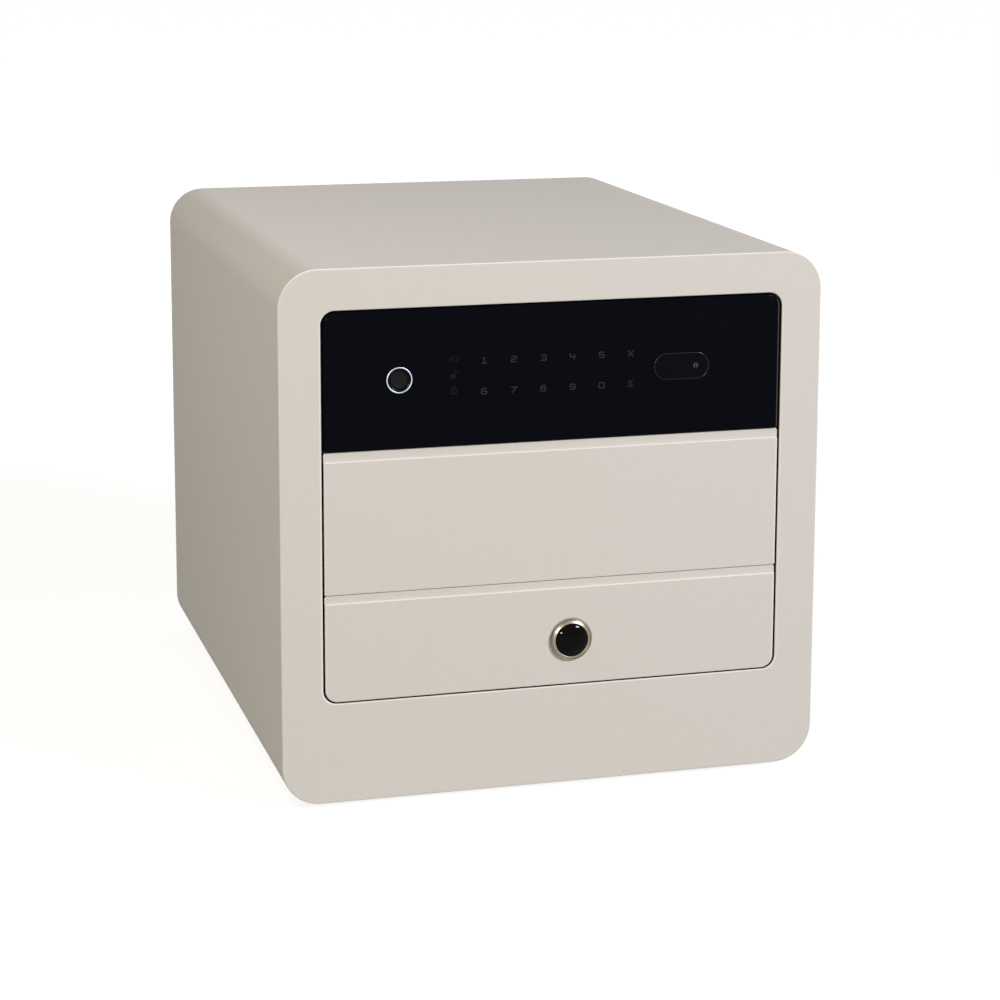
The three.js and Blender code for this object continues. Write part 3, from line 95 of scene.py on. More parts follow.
UPPER_LIP = 6.2
LOWER_LIP = 5.5
LIP_STEP = 1.5
FRONT_THICKNESS = 16
FRONT_ROUND = 1.0
ROUND_WIDE = 1.8  # upright edges are rounded wider than deep
FRONT_CORNER = 1.4
FRONT_TRIM = 0.2  # taken off each side, so that the gap reads as one black line
LIP_ROUND = 0.35
GAP_SHADE_DEPTH = 7  # how far back the fronts' sides are dark, painted shade in the gap
BOX_SHEET = 1.5
HEM_HEIGHT = 8
HEM_SHEET = 3
BOX_CORNER = 5
MAT_GRID = (60, 80)
MAT_DIP = 0.35  # how far the felt lies under the top of its solid
MAT_DROP = 0.6  # how much more its edge sinks
MAT_EDGE = 3
MAT_WAVE = 0.25
MAT_WAVE_SCALE = 0.02
RAIL_SHEET = 1.2
RAIL_SCREWS = (46, 150, 292)
RAIL_RIVETS = (52, 236)
SCREW_RADIUS = 3.0
RIVET_RADIUS = 2.4

# Touch panel

GLASS_THICKNESS = 4
GLASS_ROUND = 2
GLASS_LOW_RADIUS = 1.8
GLASS_LOW_SHARE = 0.2  # the lower edge is hardly rounded
GLASS_RIGHT_SHARE = 1.4
PRINT = 0.04  # how far prints stand on the glass
READER = (-114.3, 303.7)
READER_RADIUS = 9.3
READER_BEZEL = 0.88
SENSOR_RADIUS = 6.0
SENSOR_GAP = 0.2
SENSOR_SINK = 1.75
SENSOR_THICKNESS = 1.8
BEZEL_ROUND = 0.45
BEZEL_RISE = 0.25
READER_SLOPE = (16, 40)  # degrees, from the bezel in to the sensor
KEY_COLUMNS = [-53.1 + 21.64 * i for i in range(6)]
KEY_ROWS = (314.8, 292.8)
KEY_WIDTH = 4.8
KEY_HEIGHT = 4.7
KEY_STROKE = 0.72
THIN_STROKE = 0.7  # share of the stroke on the enter key
ICON_X = -75
BATTERY_H = 316.9  # middle of the battery
OPEN_H = 303.2  # foot of the open padlock
CLOSED_H = 292.2  # foot of the closed padlock
COVER_GAP = 0.3
COVER_RADIUS = 9.2
COVER_ROUND = 0.35
PIN_LENGTH = 1.5  # the cover's box holds its two pivot pins
COVER_MARK = (104.3, 303.9)

# Push button

BUTTON = (12.1, 107.3)
BUTTON_RADIUS = 11.9
BUTTON_PROUD = 6.3
BUTTON_CROWN = 3.2
BUTTON_RIM = 0.2
SKIRT_RADIUS = 9
SKIRT_FOOT = 9
STEM_RADIUS = 3.5
STEM_BORE = 4.4
ROSETTE_RADIUS = 15.05
ROSETTE_CREST = 3.0
CUP_DEPTH = 4.1  # clears the pressed button's skirt
CUP_GAP = 0.3
BARREL_BORE = 9.2
ROSETTE_GROOVE = (14.25, 14.42)
ROSETTE_SLOPE = (23, 31)  # degrees, from the cup out to the groove
# outer radius of the darker ring round the rosette, a painted shadow
SHADOW_RING_RADIUS = 16.2

# Camera, fitted to the photo's long edges

CAMERA_PLACE = (-0.5365, -1.9888, 0.6566)
CAMERA_TURN = (79.883, -0.194, -15.742)
CAMERA_LENS = 94.89
CAMERA_SENSOR = 36
CAMERA_SHIFT = -0.16  # the photo's uprights hardly converge


def place(x, d, h):
    return ORIGIN + Vector((x, d, h)) * MM


class Span:
    """A solid's box in the script's millimetres."""

    def __init__(self, node):
        low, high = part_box(node)
        low = (low - ORIGIN) / MM
        high = (high - ORIGIN) / MM
        self.x0, self.d0, self.h0 = low
        self.x1, self.d1, self.h1 = high


SHELL = Span("outer_shell")
GLASS = Span("glass_panel")
COVER = Span("key_cover")
UPPER_FRONT = Span("upper_drawer_front")
LOWER_FRONT = Span("lower_drawer_front")
OPENING_HALF = GLASS.x1 + SIDE_GAP
OPENING_BOTTOM = LOWER_FRONT.h0 - BOTTOM_GAP
OPENING_TOP = GLASS.h1 + TOP_GAP


# Materials


def srgb(red, green, blue):
    """A colour of 0 to 255 as the shader's linear values."""
    values = []
    for c in (red, green, blue):
        c /= 255
        values.append(c / 12.92 if c <= 0.04045 else ((c + 0.055) / 1.055) ** 2.4)
    return (*values, 1)


class Finish:
    """A procedural material: a shader with noise in its colour, roughness and bump."""

    def __init__(self, name, color, roughness, metallic=0.0):
        self.material = bpy.data.materials.new(name)
        self.material.use_nodes = True
        self.nodes = self.material.node_tree.nodes
        self.links = self.material.node_tree.links
        self.shader = self.nodes["Principled BSDF"]
        self.set("Base Color", color)
        self.set("Roughness", roughness)
        self.set("Metallic", metallic)
        self.color = color
        self.roughness = roughness
        self.place = self.nodes.new("ShaderNodeTexCoord").outputs["Object"]

    def set(self, socket, value):
        self.shader.inputs[socket].default_value = value

    def noise(self, scale, detail=3.0, stretch=None):
        """Noise of a scale per metre, drawn out along some axes if stretch says so."""
        texture = self.nodes.new("ShaderNodeTexNoise")
        texture.inputs["Scale"].default_value = scale
        texture.inputs["Detail"].default_value = detail
        source = self.place
        if stretch:
            mapping = self.nodes.new("ShaderNodeMapping")
            mapping.inputs["Scale"].default_value = stretch
            self.links.new(source, mapping.inputs["Vector"])
            source = mapping.outputs["Vector"]
        self.links.new(source, texture.inputs["Vector"])
        return texture.outputs["Fac"]

    def ramp(self, value, low, high, start=0.3, end=0.7):
        """A grey value from low to high as the noise goes from start to end."""
        node = self.nodes.new("ShaderNodeMapRange")
        node.inputs["From Min"].default_value = start
        node.inputs["From Max"].default_value = end
        node.inputs["To Min"].default_value = low
        node.inputs["To Max"].default_value = high
        self.links.new(value, node.inputs["Value"])
        return node.outputs["Result"]

    def vary_color(self, value, dark, light=1.0):
        """The base colour times a factor from dark to light."""
        mix = self.nodes.new("ShaderNodeMix")
        mix.data_type = "RGBA"
        mix.inputs["A"].default_value = [c * dark for c in self.color[:3]] + [1]
        mix.inputs["B"].default_value = [min(1, c * light) for c in self.color[:3]] + [1]
        self.links.new(self.ramp(value, 0, 1), mix.inputs["Factor"])
        self.links.new(mix.outputs["Result"], self.shader.inputs["Base Color"])
        return self

    def vary_roughness(self, value, spread):
        self.links.new(
            self.ramp(value, self.roughness - spread, self.roughness + spread),
            self.shader.inputs["Roughness"],
        )
        return self

    def bump(self, value, height, strength=1.0):
        """A bump of a height in millimetres."""
        node = self.nodes.new("ShaderNodeBump")
        node.inputs["Distance"].default_value = height * MM
        node.inputs["Strength"].default_value = strength
        self.links.new(value, node.inputs["Height"])
        self.links.new(node.outputs["Normal"], self.shader.inputs["Normal"])
        return self


def powder_coat(name="powder_coat", color=srgb(219, 213, 205)):
    f = Finish(name, color, 0.46)
    f.set("Specular IOR Level", 0.08)
    f.vary_color(f.noise(700), 0.975, 1.02)
    f.vary_roughness(f.noise(180), 0.06)
    return f.bump(f.noise(1500, 4), 0.02, 0.5).material


def black_glass():
    f = Finish("black_glass", srgb(6, 8, 15), 0.1)
    f.set("Specular IOR Level", 0.02)
    f.vary_color(f.noise(60), 0.9, 1.1)
    return f.vary_roughness(f.noise(240), 0.03).material


def cover_black():
    f = Finish("cover_black", srgb(9, 9, 13), 0.3)
    f.set("Specular IOR Level", 0.03)
    f.vary_color(f.noise(300), 0.92, 1.08)
    f.vary_roughness(f.noise(500), 0.05)
    return f.bump(f.noise(2600, 2), 0.006, 0.4).material


def ink(name, color, scale=2500, dark=0.9):
    f = Finish(name, color, 0.6)
    f.set("Specular IOR Level", 0.05)
    f.vary_color(f.noise(scale), dark, 1.05)
    return f.vary_roughness(f.noise(900), 0.08).material


def sensor_black():
    f = Finish("sensor_black", srgb(23, 23, 23), 0.45)
    f.set("Specular IOR Level", 0.08)
    f.vary_color(f.noise(900), 0.92, 1.06)
    f.vary_roughness(f.noise(700), 0.05)
    return f.bump(f.noise(6000, 2), 0.01, 0.3).material


def satin_nickel():
    f = Finish("satin_nickel", srgb(146, 135, 120), 0.3, 1.0)
    f.vary_color(f.noise(500), 0.96, 1.02)
    f.vary_roughness(f.noise(1600), 0.05)
    return f.bump(f.noise(5200, 2), 0.004, 0.35).material


def polished_steel():
    f = Finish("polished_steel", srgb(180, 186, 198), 0.42, 1.0)
    f.vary_color(f.noise(500), 0.96, 1.02)
    return f.vary_roughness(f.noise(1600), 0.04).material


def glass_edge():
    f = Finish("glass_edge", srgb(20, 21, 24), 0.16)
    f.set("Specular IOR Level", 0.45)
    f.vary_color(f.noise(90), 0.9, 1.1)
    return f.vary_roughness(f.noise(400), 0.04).material


# Black for the reader's groove; on the rosette's groove and cup wall it is painted shade.
def groove_black_and_painted_shade():
    f = Finish("groove_black_and_painted_shade", srgb(3, 3, 4), 0.24)
    f.set("Specular IOR Level", 0.06)
    f.vary_color(f.noise(400), 0.9, 1.1)
    return f.vary_roughness(f.noise(900), 0.04).material


def gloss_black():
    f = Finish("gloss_black", srgb(1, 1, 2), 0.04)
    f.set("Specular IOR Level", 0.07)
    f.vary_color(f.noise(400), 0.9, 1.1)
    return f.vary_roughness(f.noise(900), 0.03).material


def zinc_steel():
    f = Finish("zinc_steel", srgb(176, 180, 184), 0.36, 1.0)
    f.vary_color(f.noise(160, 2), 0.88, 1.02)
    f.vary_roughness(f.noise(220), 0.09)
    return f.bump(f.noise(900, 2, (1, 0.04, 1)), 0.006, 0.3).material


def brass():
    f = Finish("brass", srgb(190, 152, 84), 0.32, 1.0)
    f.vary_color(f.noise(400), 0.9, 1.03)
    f.vary_roughness(f.noise(900), 0.07)
    return f.bump(f.noise(2400), 0.006, 0.4).material


def black_plastic():
    f = Finish("black_plastic", srgb(34, 34, 36), 0.52)
    f.vary_color(f.noise(600), 0.9, 1.1)
    f.vary_roughness(f.noise(800), 0.07)
    return f.bump(f.noise(2200, 3), 0.03, 0.5).material


def rubber():
    f = Finish("rubber", srgb(26, 26, 26), 0.8)
    f.set("Specular IOR Level", 0.15)
    f.vary_color(f.noise(500), 0.88, 1.1)
    f.vary_roughness(f.noise(900), 0.08)
    return f.bump(f.noise(1800, 4), 0.05, 0.6).material


def felt():
    f = Finish("felt", srgb(64, 64, 67), 0.93)
    f.set("Sheen Weight", 0.35)
    f.set("Sheen Roughness", 0.6)
    f.vary_color(f.noise(1400, 6), 0.72, 1.2)
    f.vary_roughness(f.noise(700), 0.05)
    return f.bump(f.noise(2600, 8), 0.25, 0.8).material


def board_green():
    f = Finish("board_green", srgb(34, 92, 58), 0.42)
    f.set("Specular IOR Level", 0.5)
    f.vary_color(f.noise(420, 1), 0.75, 1.08)
    f.vary_roughness(f.noise(300), 0.06)
    return f.bump(f.noise(1100, 1), 0.03, 0.4).material


def cell_wrap():
    f = Finish("cell_wrap", srgb(92, 102, 114), 0.34)
    f.vary_color(f.noise(300), 0.9, 1.05)
    f.vary_roughness(f.noise(260), 0.05)
    return f.bump(f.noise(500), 0.02, 0.4).material


# Near-black coat for the fronts' sides in the gaps: painted shade.
def painted_gap_shade():
    f = Finish("painted_gap_shade", srgb(16, 16, 16), 0.8)
    f.set("Specular IOR Level", 0.1)
    f.vary_color(f.noise(900), 0.85, 1.1)
    return f.vary_roughness(f.noise(600), 0.08).material


# The finishes, by name
MATERIALS = {
    "powder_coat": powder_coat(),
    # a paler copy of the coat for rounded edges: painted highlight
    "painted_highlight_coat": powder_coat("painted_highlight_coat", srgb(236, 231, 223)),
    # a darker copy of the coat for the ring round the rosette: painted shadow
    "shade_coat": powder_coat("shade_coat", srgb(168, 162, 155)),
    # near-black for the fronts' sides: painted shade in the gaps
    "painted_gap_shade": painted_gap_shade(),
    "black_glass": black_glass(),
    "cover_black": cover_black(),
    "print_ink": ink("print_ink", srgb(58, 50, 43)),
    "dim_ink": ink("dim_ink", srgb(25, 25, 26)),
    "mark_ink": ink("mark_ink", srgb(64, 68, 76), 3000, 0.85),
    "sensor_black": sensor_black(),
    "satin_nickel": satin_nickel(),
    "polished_steel": polished_steel(),
    "glass_edge": glass_edge(),
    "groove_black_and_painted_shade": groove_black_and_painted_shade(),
    "gloss_black": gloss_black(),
    "zinc_steel": zinc_steel(),
    "brass": brass(),
    "black_plastic": black_plastic(),
    "rubber": rubber(),
    "felt": felt(),
    "board_green": board_green(),
    "cell_wrap": cell_wrap(),
}


# Shapes


def round_rect(x0, x1, h0, h1, radii, steps=16):
    """(x, h) points anticlockwise from the right side's foot, radii from the bottom left."""
    if not hasattr(radii, "__len__"):
        radii = [radii] * 4
    low_left, low_right, top_right, top_left = radii
    corners = [
        (x1 - low_right, h0 + low_right, low_right, -90),
        (x1 - top_right, h1 - top_right, top_right, 0),
        (x0 + top_left, h1 - top_left, top_left, 90),
        (x0 + low_left, h0 + low_left, low_left, 180),
    ]
    points = []
    for x, h, radius, start in corners:
        for i in range(steps + 1):
            turn = math.radians(start + 90 * i / steps)
            points.append((x + radius * math.cos(turn), h + radius * math.sin(turn)))
    return points


def at_depth(points, d):
    return [place(x, d, h) for x, h in points]


def at_height(points, h):
    return [place(x, d, h) for x, d in points]


def mesh_of_rings(name, rings, loop=False):
    """Rings of points, each with as many, joined by quads. Its ends close, or meet in a loop."""
    bm = bmesh.new()
    rows = [[bm.verts.new(p) for p in ring] for ring in rings]
    count = len(rows[0])
    pairs = list(zip(rows, rows[1:]))
    if loop:
        pairs.append((rows[-1], rows[0]))
    for a, b in pairs:
        for i in range(count):
            j = (i + 1) % count
            bm.faces.new((a[i], a[j], b[j], b[i]))
    if not loop:
        bm.faces.new(rows[0][::-1])
        bm.faces.new(rows[-1])
    return finish_mesh(name, bm)


def finish_mesh(name, bm):
    bmesh.ops.remove_doubles(bm, verts=bm.verts, dist=1e-7)
    bmesh.ops.recalc_face_normals(bm, faces=bm.faces)
    mesh = bpy.data.meshes.new(name)
    bm.to_mesh(mesh)
    bm.free()
    return mesh


def join_rows(bm, rows, steps):
    """Faces from row to row, where a row has one point for each step or only one."""
    for a, b in zip(rows, rows[1:]):
        for i in range(steps):
            j = (i + 1) % steps
            face = [a[i % len(a)], a[j % len(a)], b[j % len(b)], b[i % len(b)]]
            corners = list(dict.fromkeys(face))
            if len(corners) > 2:
                bm.faces.new(corners)


def turned(name, axis, profile, steps=96):
    """A turned piece about the depth axis through (x, h), from (radius, d) points."""
    bm = bmesh.new()
    rows = []
    for radius, d in profile:
        if radius < 1e-6:
            rows.append([bm.verts.new(place(axis[0], d, axis[1]))])
            continue
        row = []
        for i in range(steps):
            turn = 2 * math.pi * i / steps
            x = axis[0] + radius * math.cos(turn)
            row.append(bm.verts.new(place(x, d, axis[1] + radius * math.sin(turn))))
        rows.append(row)
    join_rows(bm, rows, steps)
    return finish_mesh(name, bm)


def arc(cx, cy, radius, start, end, steps):
    """Points on an arc, in degrees."""
    points = []
    for i in range(steps + 1):
        turn = math.radians(start + (end - start) * i / steps)
        points.append((cx + radius * math.cos(turn), cy + radius * math.sin(turn)))
    return points


def circle(cx, cy, radius, steps=60):
    return arc(cx, cy, radius, 0, 360 - 360 / steps, steps - 1)


def quarter(steps):
    """The turns of a quarter round, in radians."""
    return [math.radians(90 * i / steps) for i in range(steps + 1)]


def shrunk(radii, inset):
    return [max(r - inset, LEAST_RADIUS) for r in radii]


def shade(piece):
    """Marks the sharp edges and evens out the shading between them."""
    piece.data.set_sharp_from_angle(angle=math.radians(SHARP_ANGLE))
    normals = piece.modifiers.new("normals", "WEIGHTED_NORMAL")
    normals.keep_sharp = True


def add(name, mesh, body, material, replaces=(), smooth=True):
    piece = bpy.data.objects.new(name, mesh)
    bpy.context.scene.collection.objects.link(piece)
    mesh.materials.clear()
    mesh.materials.append(MATERIALS[material])
    for polygon in mesh.polygons:
        polygon.use_smooth = smooth
    if smooth:
        shade(piece)
    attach(piece, body)
    if replaces:
        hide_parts(*replaces)
    return piece


def cut_away(piece, *cutters):
    """Takes the cutters' meshes out of the piece for good."""
    weighted = [m for m in piece.modifiers if m.type == "WEIGHTED_NORMAL"]
    for m in weighted:
        piece.modifiers.remove(m)
    for mesh in cutters:
        tool = bpy.data.objects.new("cutter", mesh)
        bpy.context.scene.collection.objects.link(tool)
        cut = piece.modifiers.new("cut", "BOOLEAN")
        cut.operation = "DIFFERENCE"
        cut.solver = "EXACT"
        cut.object = tool
        bpy.context.view_layer.update()
        depsgraph = bpy.context.evaluated_depsgraph_get()
        result = bpy.data.meshes.new_from_object(piece.evaluated_get(depsgraph))
        piece.modifiers.remove(cut)
        piece.data = result
        bpy.data.objects.remove(tool)
    shade(piece)


def second_material(piece, material, chosen):
    """Gives the chosen faces another material."""
    piece.data.materials.append(MATERIALS[material])
    for face in piece.data.polygons:
        if chosen(face):
            face.material_index = len(piece.data.materials) - 1


def middle_of(face):
    """A face's middle as x, d and h in millimetres."""
    return (face.center - ORIGIN) / MM


def rounded(face):
    """Whether a face lies on a rounded edge rather than flat in the front."""
    return face.normal.y > FLAT_NORMAL


def drill(axis, radius, d0, d1):
    return turned("drill", axis, [(0, d0), (radius, d0), (radius, d1), (0, d1)], 64)


# Cabinet


def shell_outline(inset):
    radius = CORNER_RADIUS - inset
    return round_rect(
        SHELL.x0 + inset, SHELL.x1 - inset, SHELL.h0 + inset, SHELL.h1 - inset, radius
    )


def opening_outline(grow, wide=1.0):
    return round_rect(
        -OPENING_HALF - grow * wide, OPENING_HALF + grow * wide,
        OPENING_BOTTOM - grow, OPENING_TOP + grow, OPENING_RADIUS + grow,
    )


def cabinet_body():
    """The shell and its front frame as one skin, with rounded edges front and back."""
    turns = quarter(6)
    rings = []
    for t in turns:
        inset = BACK_ROUND * (1 - math.sin(t))
        rings.append(at_depth(shell_outline(inset), SHELL.d1 - BACK_ROUND * (1 - math.cos(t))))
    for t in reversed(turns):
        inset = EDGE_ROUND * (1 - math.sin(t))
        rings.append(at_depth(shell_outline(inset), EDGE_ROUND * (1 - math.cos(t))))
    for t in turns:
        grow = OPENING_ROUND * (1 - math.sin(t))
        outline = opening_outline(grow, ROUND_WIDE)
        rings.append(at_depth(outline, OPENING_ROUND * (1 - math.cos(t))))
    rings.append(at_depth(opening_outline(0), RETURN_DEPTH))
    rings.append(at_depth(opening_outline(RETURN_SHEET), RETURN_DEPTH))
    rings.append(at_depth(opening_outline(RETURN_SHEET), FRONT_SHEET))
    rings.append(at_depth(shell_outline(WALL), FRONT_SHEET))
    rings.append(at_depth(shell_outline(WALL), SHELL.d1 - BACK_ROUND))
    for t in turns:
        inset = WALL - BACK_ROUND * (1 - math.cos(t))
        rings.append(at_depth(shell_outline(inset), SHELL.d1 - BACK_ROUND * (1 - math.sin(t))))
    mesh = mesh_of_rings("cabinet_body", rings, loop=True)
    body = add("cabinet_body", mesh, "cabinet", "powder_coat", ("outer_shell", "front_frame"))
    bores = []
    for x in (SHELL.x0 + ANCHOR_INSET, SHELL.x1 - ANCHOR_INSET):
        for d in (ANCHOR_INSET, SHELL.d1 - ANCHOR_INSET):
            hole = circle(x, d, ANCHOR_RADIUS)
            bores.append(mesh_of_rings("bore", [at_height(hole, -2), at_height(hole, WALL + 2)]))
    cut_away(body, *bores)

    def front_edge(face):
        x, d, h = middle_of(face)
        beside = abs(x) < OPENING_HALF + OPENING_ROUND * ROUND_WIDE
        level = OPENING_BOTTOM - OPENING_ROUND < h < OPENING_TOP + OPENING_ROUND
        reach = OPENING_ROUND if beside and level else EDGE_ROUND * EDGE_LIGHT
        return d < reach and rounded(face)

    # the rounded edges of the front and the opening get the paler coat as painted highlight
    second_material(body, "painted_highlight_coat", front_edge)


def opening_lining():
    """A thin black lining inside the opening, behind the fronts' edges."""
    section = (
        (LINING_FRONT, -0.05), (LINING_FRONT + LINING_EDGE, -LINING),
        (LINING_BACK - LINING_EDGE, -LINING), (LINING_BACK, -0.05),
        (LINING_BACK, 0.1), (LINING_FRONT, 0.1),
    )
    rings = [at_depth(opening_outline(grow), d) for d, grow in section]
    add("opening_lining", mesh_of_rings("opening_lining", rings, loop=True), "cabinet", "rubber")


# Drawer fronts


def drawer_front(name, span, lip, low_radius, body, node, holes=()):
    """A front with a lip along its top, set back by a small step."""
    radii = [low_radius, low_radius, FRONT_CORNER, FRONT_CORNER]
    face_top = span.h1 - lip
    x0 = span.x0 + FRONT_TRIM
    x1 = span.x1 - FRONT_TRIM
    turns = quarter(5)
    rings = []
    for t in turns:
        inset = FRONT_ROUND * (1 - math.sin(t))
        beside = inset * ROUND_WIDE
        outline = round_rect(
            x0 + beside, x1 - beside, span.h0 + inset, face_top - inset,
            shrunk(radii, inset), 8,
        )
        rings.append(at_depth(outline, FRONT_ROUND * (1 - math.cos(t))))
    outline = round_rect(x0, x1, span.h0, face_top, radii, 8)
    rings.append(at_depth(outline, LIP_STEP))
    for t in turns:
        top = span.h1 - LIP_ROUND * (1 - math.sin(t))
        outline = round_rect(x0, x1, span.h0, top, radii, 8)
        rings.append(at_depth(outline, LIP_STEP + LIP_ROUND * (1 - math.cos(t))))
    rings.append(at_depth(round_rect(x0, x1, span.h0, span.h1, radii, 8), GAP_SHADE_DEPTH))
    for t in reversed(turns):
        inset = FRONT_ROUND * (1 - math.sin(t))
        outline = round_rect(
            x0 + inset, x1 - inset, span.h0 + inset, span.h1 - inset,
            shrunk(radii, inset), 8,
        )
        rings.append(at_depth(outline, FRONT_THICKNESS - FRONT_ROUND * (1 - math.cos(t))))
    piece = add(name, mesh_of_rings(name, rings), body, "powder_coat", (node,))
    if holes:
        cut_away(piece, *holes)

    def front_edge(face):
        x, d, h = middle_of(face)
        apart = math.hypot(x - BUTTON[0], h - BUTTON[1]) > ROSETTE_RADIUS + 5
        return apart and d < FRONT_ROUND and rounded(face)

    def shaded_side(face):
        x, d, h = middle_of(face)
        low = face.normal.z < -0.5 and low_radius > FRONT_CORNER
        return FRONT_ROUND < d < GAP_SHADE_DEPTH and (abs(face.normal.x) > 0.5 or low)

    # the rounded front edges get the paler coat as painted highlight
    second_material(piece, "painted_highlight_coat", front_edge)
    # the fronts' sides within the gap get the near-black coat as painted shade
    second_material(piece, "painted_gap_shade", shaded_side)


def drawer_fronts():
    barrel = Span("button_rosette")
    drawer_front(
        "upper_front", UPPER_FRONT, UPPER_LIP, FRONT_CORNER, "upper_drawer", "upper_drawer_front"
    )
    bore = drill(BUTTON, ROSETTE_RADIUS - 1.2, -2, barrel.d1 + 6)
    drawer_front(
        "lower_front", LOWER_FRONT, LOWER_LIP, OPENING_RADIUS - BOTTOM_GAP,
        "lower_drawer", "lower_drawer_front", (bore,),
    )


# Touch panel


def cover_outline(grow):
    low = COVER.h0 + PIN_LENGTH - grow
    high = COVER.h1 - PIN_LENGTH + grow
    return round_rect(COVER.x0 - grow, COVER.x1 + grow, low, high, COVER_RADIUS + grow)


def glass_outline(inset):
    corner = OPENING_RADIUS - TOP_GAP - inset
    low = max(GLASS_LOW_RADIUS - inset, LEAST_RADIUS)
    return round_rect(
        GLASS.x0 + inset, GLASS.x1 - inset * GLASS_RIGHT_SHARE,
        GLASS.h0 + inset * GLASS_LOW_SHARE, GLASS.h1 - inset,
        [low, low, corner, corner],
    )


def glass_panel():
    """Black glass whose front edge is ground to a quarter round."""
    rings = []
    for t in quarter(8):
        inset = GLASS_ROUND * (1 - math.sin(t))
        rings.append(at_depth(glass_outline(inset), GLASS_ROUND * (1 - math.cos(t))))
    rings.append(at_depth(glass_outline(0), GLASS_THICKNESS))
    glass = add(
        "glass_face", mesh_of_rings("glass_face", rings), "cabinet", "black_glass", ("glass_panel",)
    )
    gap = COVER_GAP
    window = mesh_of_rings(
        "window",
        [
            at_depth(cover_outline(gap + 1), -1),
            at_depth(cover_outline(gap), 0.15),
            at_depth(cover_outline(gap), GLASS_THICKNESS + 1),
        ],
    )
    cut_away(glass, drill(READER, READER_RADIUS + 0.2, -1, GLASS_THICKNESS + 1), window)

    def ground_edge(face):
        x, d, h = middle_of(face)
        right = face.normal.x > 0.3 and x > GLASS.x1 - GLASS_ROUND - 1
        beside = COVER.x0 - 3 < x < COVER.x1 + 3 and COVER.h0 - 3 < h < COVER.h1 + 3
        return rounded(face) and (right or beside)

    second_material(glass, "glass_edge", ground_edge)


def key_cover():
    """The oval cover over the emergency keyhole, with its edge broken."""
    rings = []
    for t in quarter(4):
        inset = COVER_ROUND * (1 - math.sin(t))
        rings.append(at_depth(cover_outline(-inset), COVER_ROUND * (1 - math.cos(t))))
    rings.append(at_depth(cover_outline(0), COVER.d1))
    mesh = mesh_of_rings("oval_cover", rings)
    cover = add("oval_cover", mesh, "cover", "cover_black", ("key_cover",))
    second_material(cover, "glass_edge", rounded)
    x, h = COVER_MARK
    disc = arc(x, h, 1.9, -76, 256, 28)
    hole = arc(x, h + 0.15, 0.55, -50, 230, 14)
    print_piece("cover_mark", [keyhole_mark(disc, hole)], "cover", "mark_ink")


def keyhole_mark(outer, inner):
    """Two open outlines joined at their ends: a disc with a keyhole left out of it."""
    return outer + inner[::-1]


def print_piece(name, outlines, body, material):
    """Flat prints on the glass as one thin piece."""
    bm = bmesh.new()
    for outline in outlines:
        front = [bm.verts.new(place(x, -PRINT, h)) for x, h in outline]
        back = [bm.verts.new(place(x, PRINT / 2, h)) for x, h in outline]
        bm.faces.new(front)
        bm.faces.new(back[::-1])
        count = len(outline)
        for i in range(count):
            j = (i + 1) % count
            bm.faces.new((front[i], back[i], back[j], front[j]))
    bmesh.ops.triangulate(bm, faces=bm.faces[:])
    add(name, finish_mesh(name, bm), body, material, smooth=False)


def stroke(points, width, closed=False):
    """The outlines of a line of a width with mitred corners, as one quad per stretch."""
    count = len(points)
    half = width / 2
    sides = []
    for i, (x, y) in enumerate(points):
        before = points[i - 1] if i or closed else None
        after = points[(i + 1) % count] if i < count - 1 or closed else None
        directions = []
        if before is not None:
            directions.append(Vector((x - before[0], y - before[1])).normalized())
        if after is not None:
            directions.append(Vector((after[0] - x, after[1] - y)).normalized())
        normals = [Vector((-v.y, v.x)) for v in directions]
        middle = sum(normals, Vector((0, 0))).normalized()
        reach = half / max(middle.dot(normals[0]), 0.4)
        over = (x + middle.x * reach, y + middle.y * reach)
        under = (x - middle.x * reach, y - middle.y * reach)
        sides.append((over, under))
    stretches = count if closed else count - 1
    quads = []
    for i in range(stretches):
        a = sides[i]
        b = sides[(i + 1) % count]
        quads.append([a[0], b[0], b[1], a[1]])
    return quads


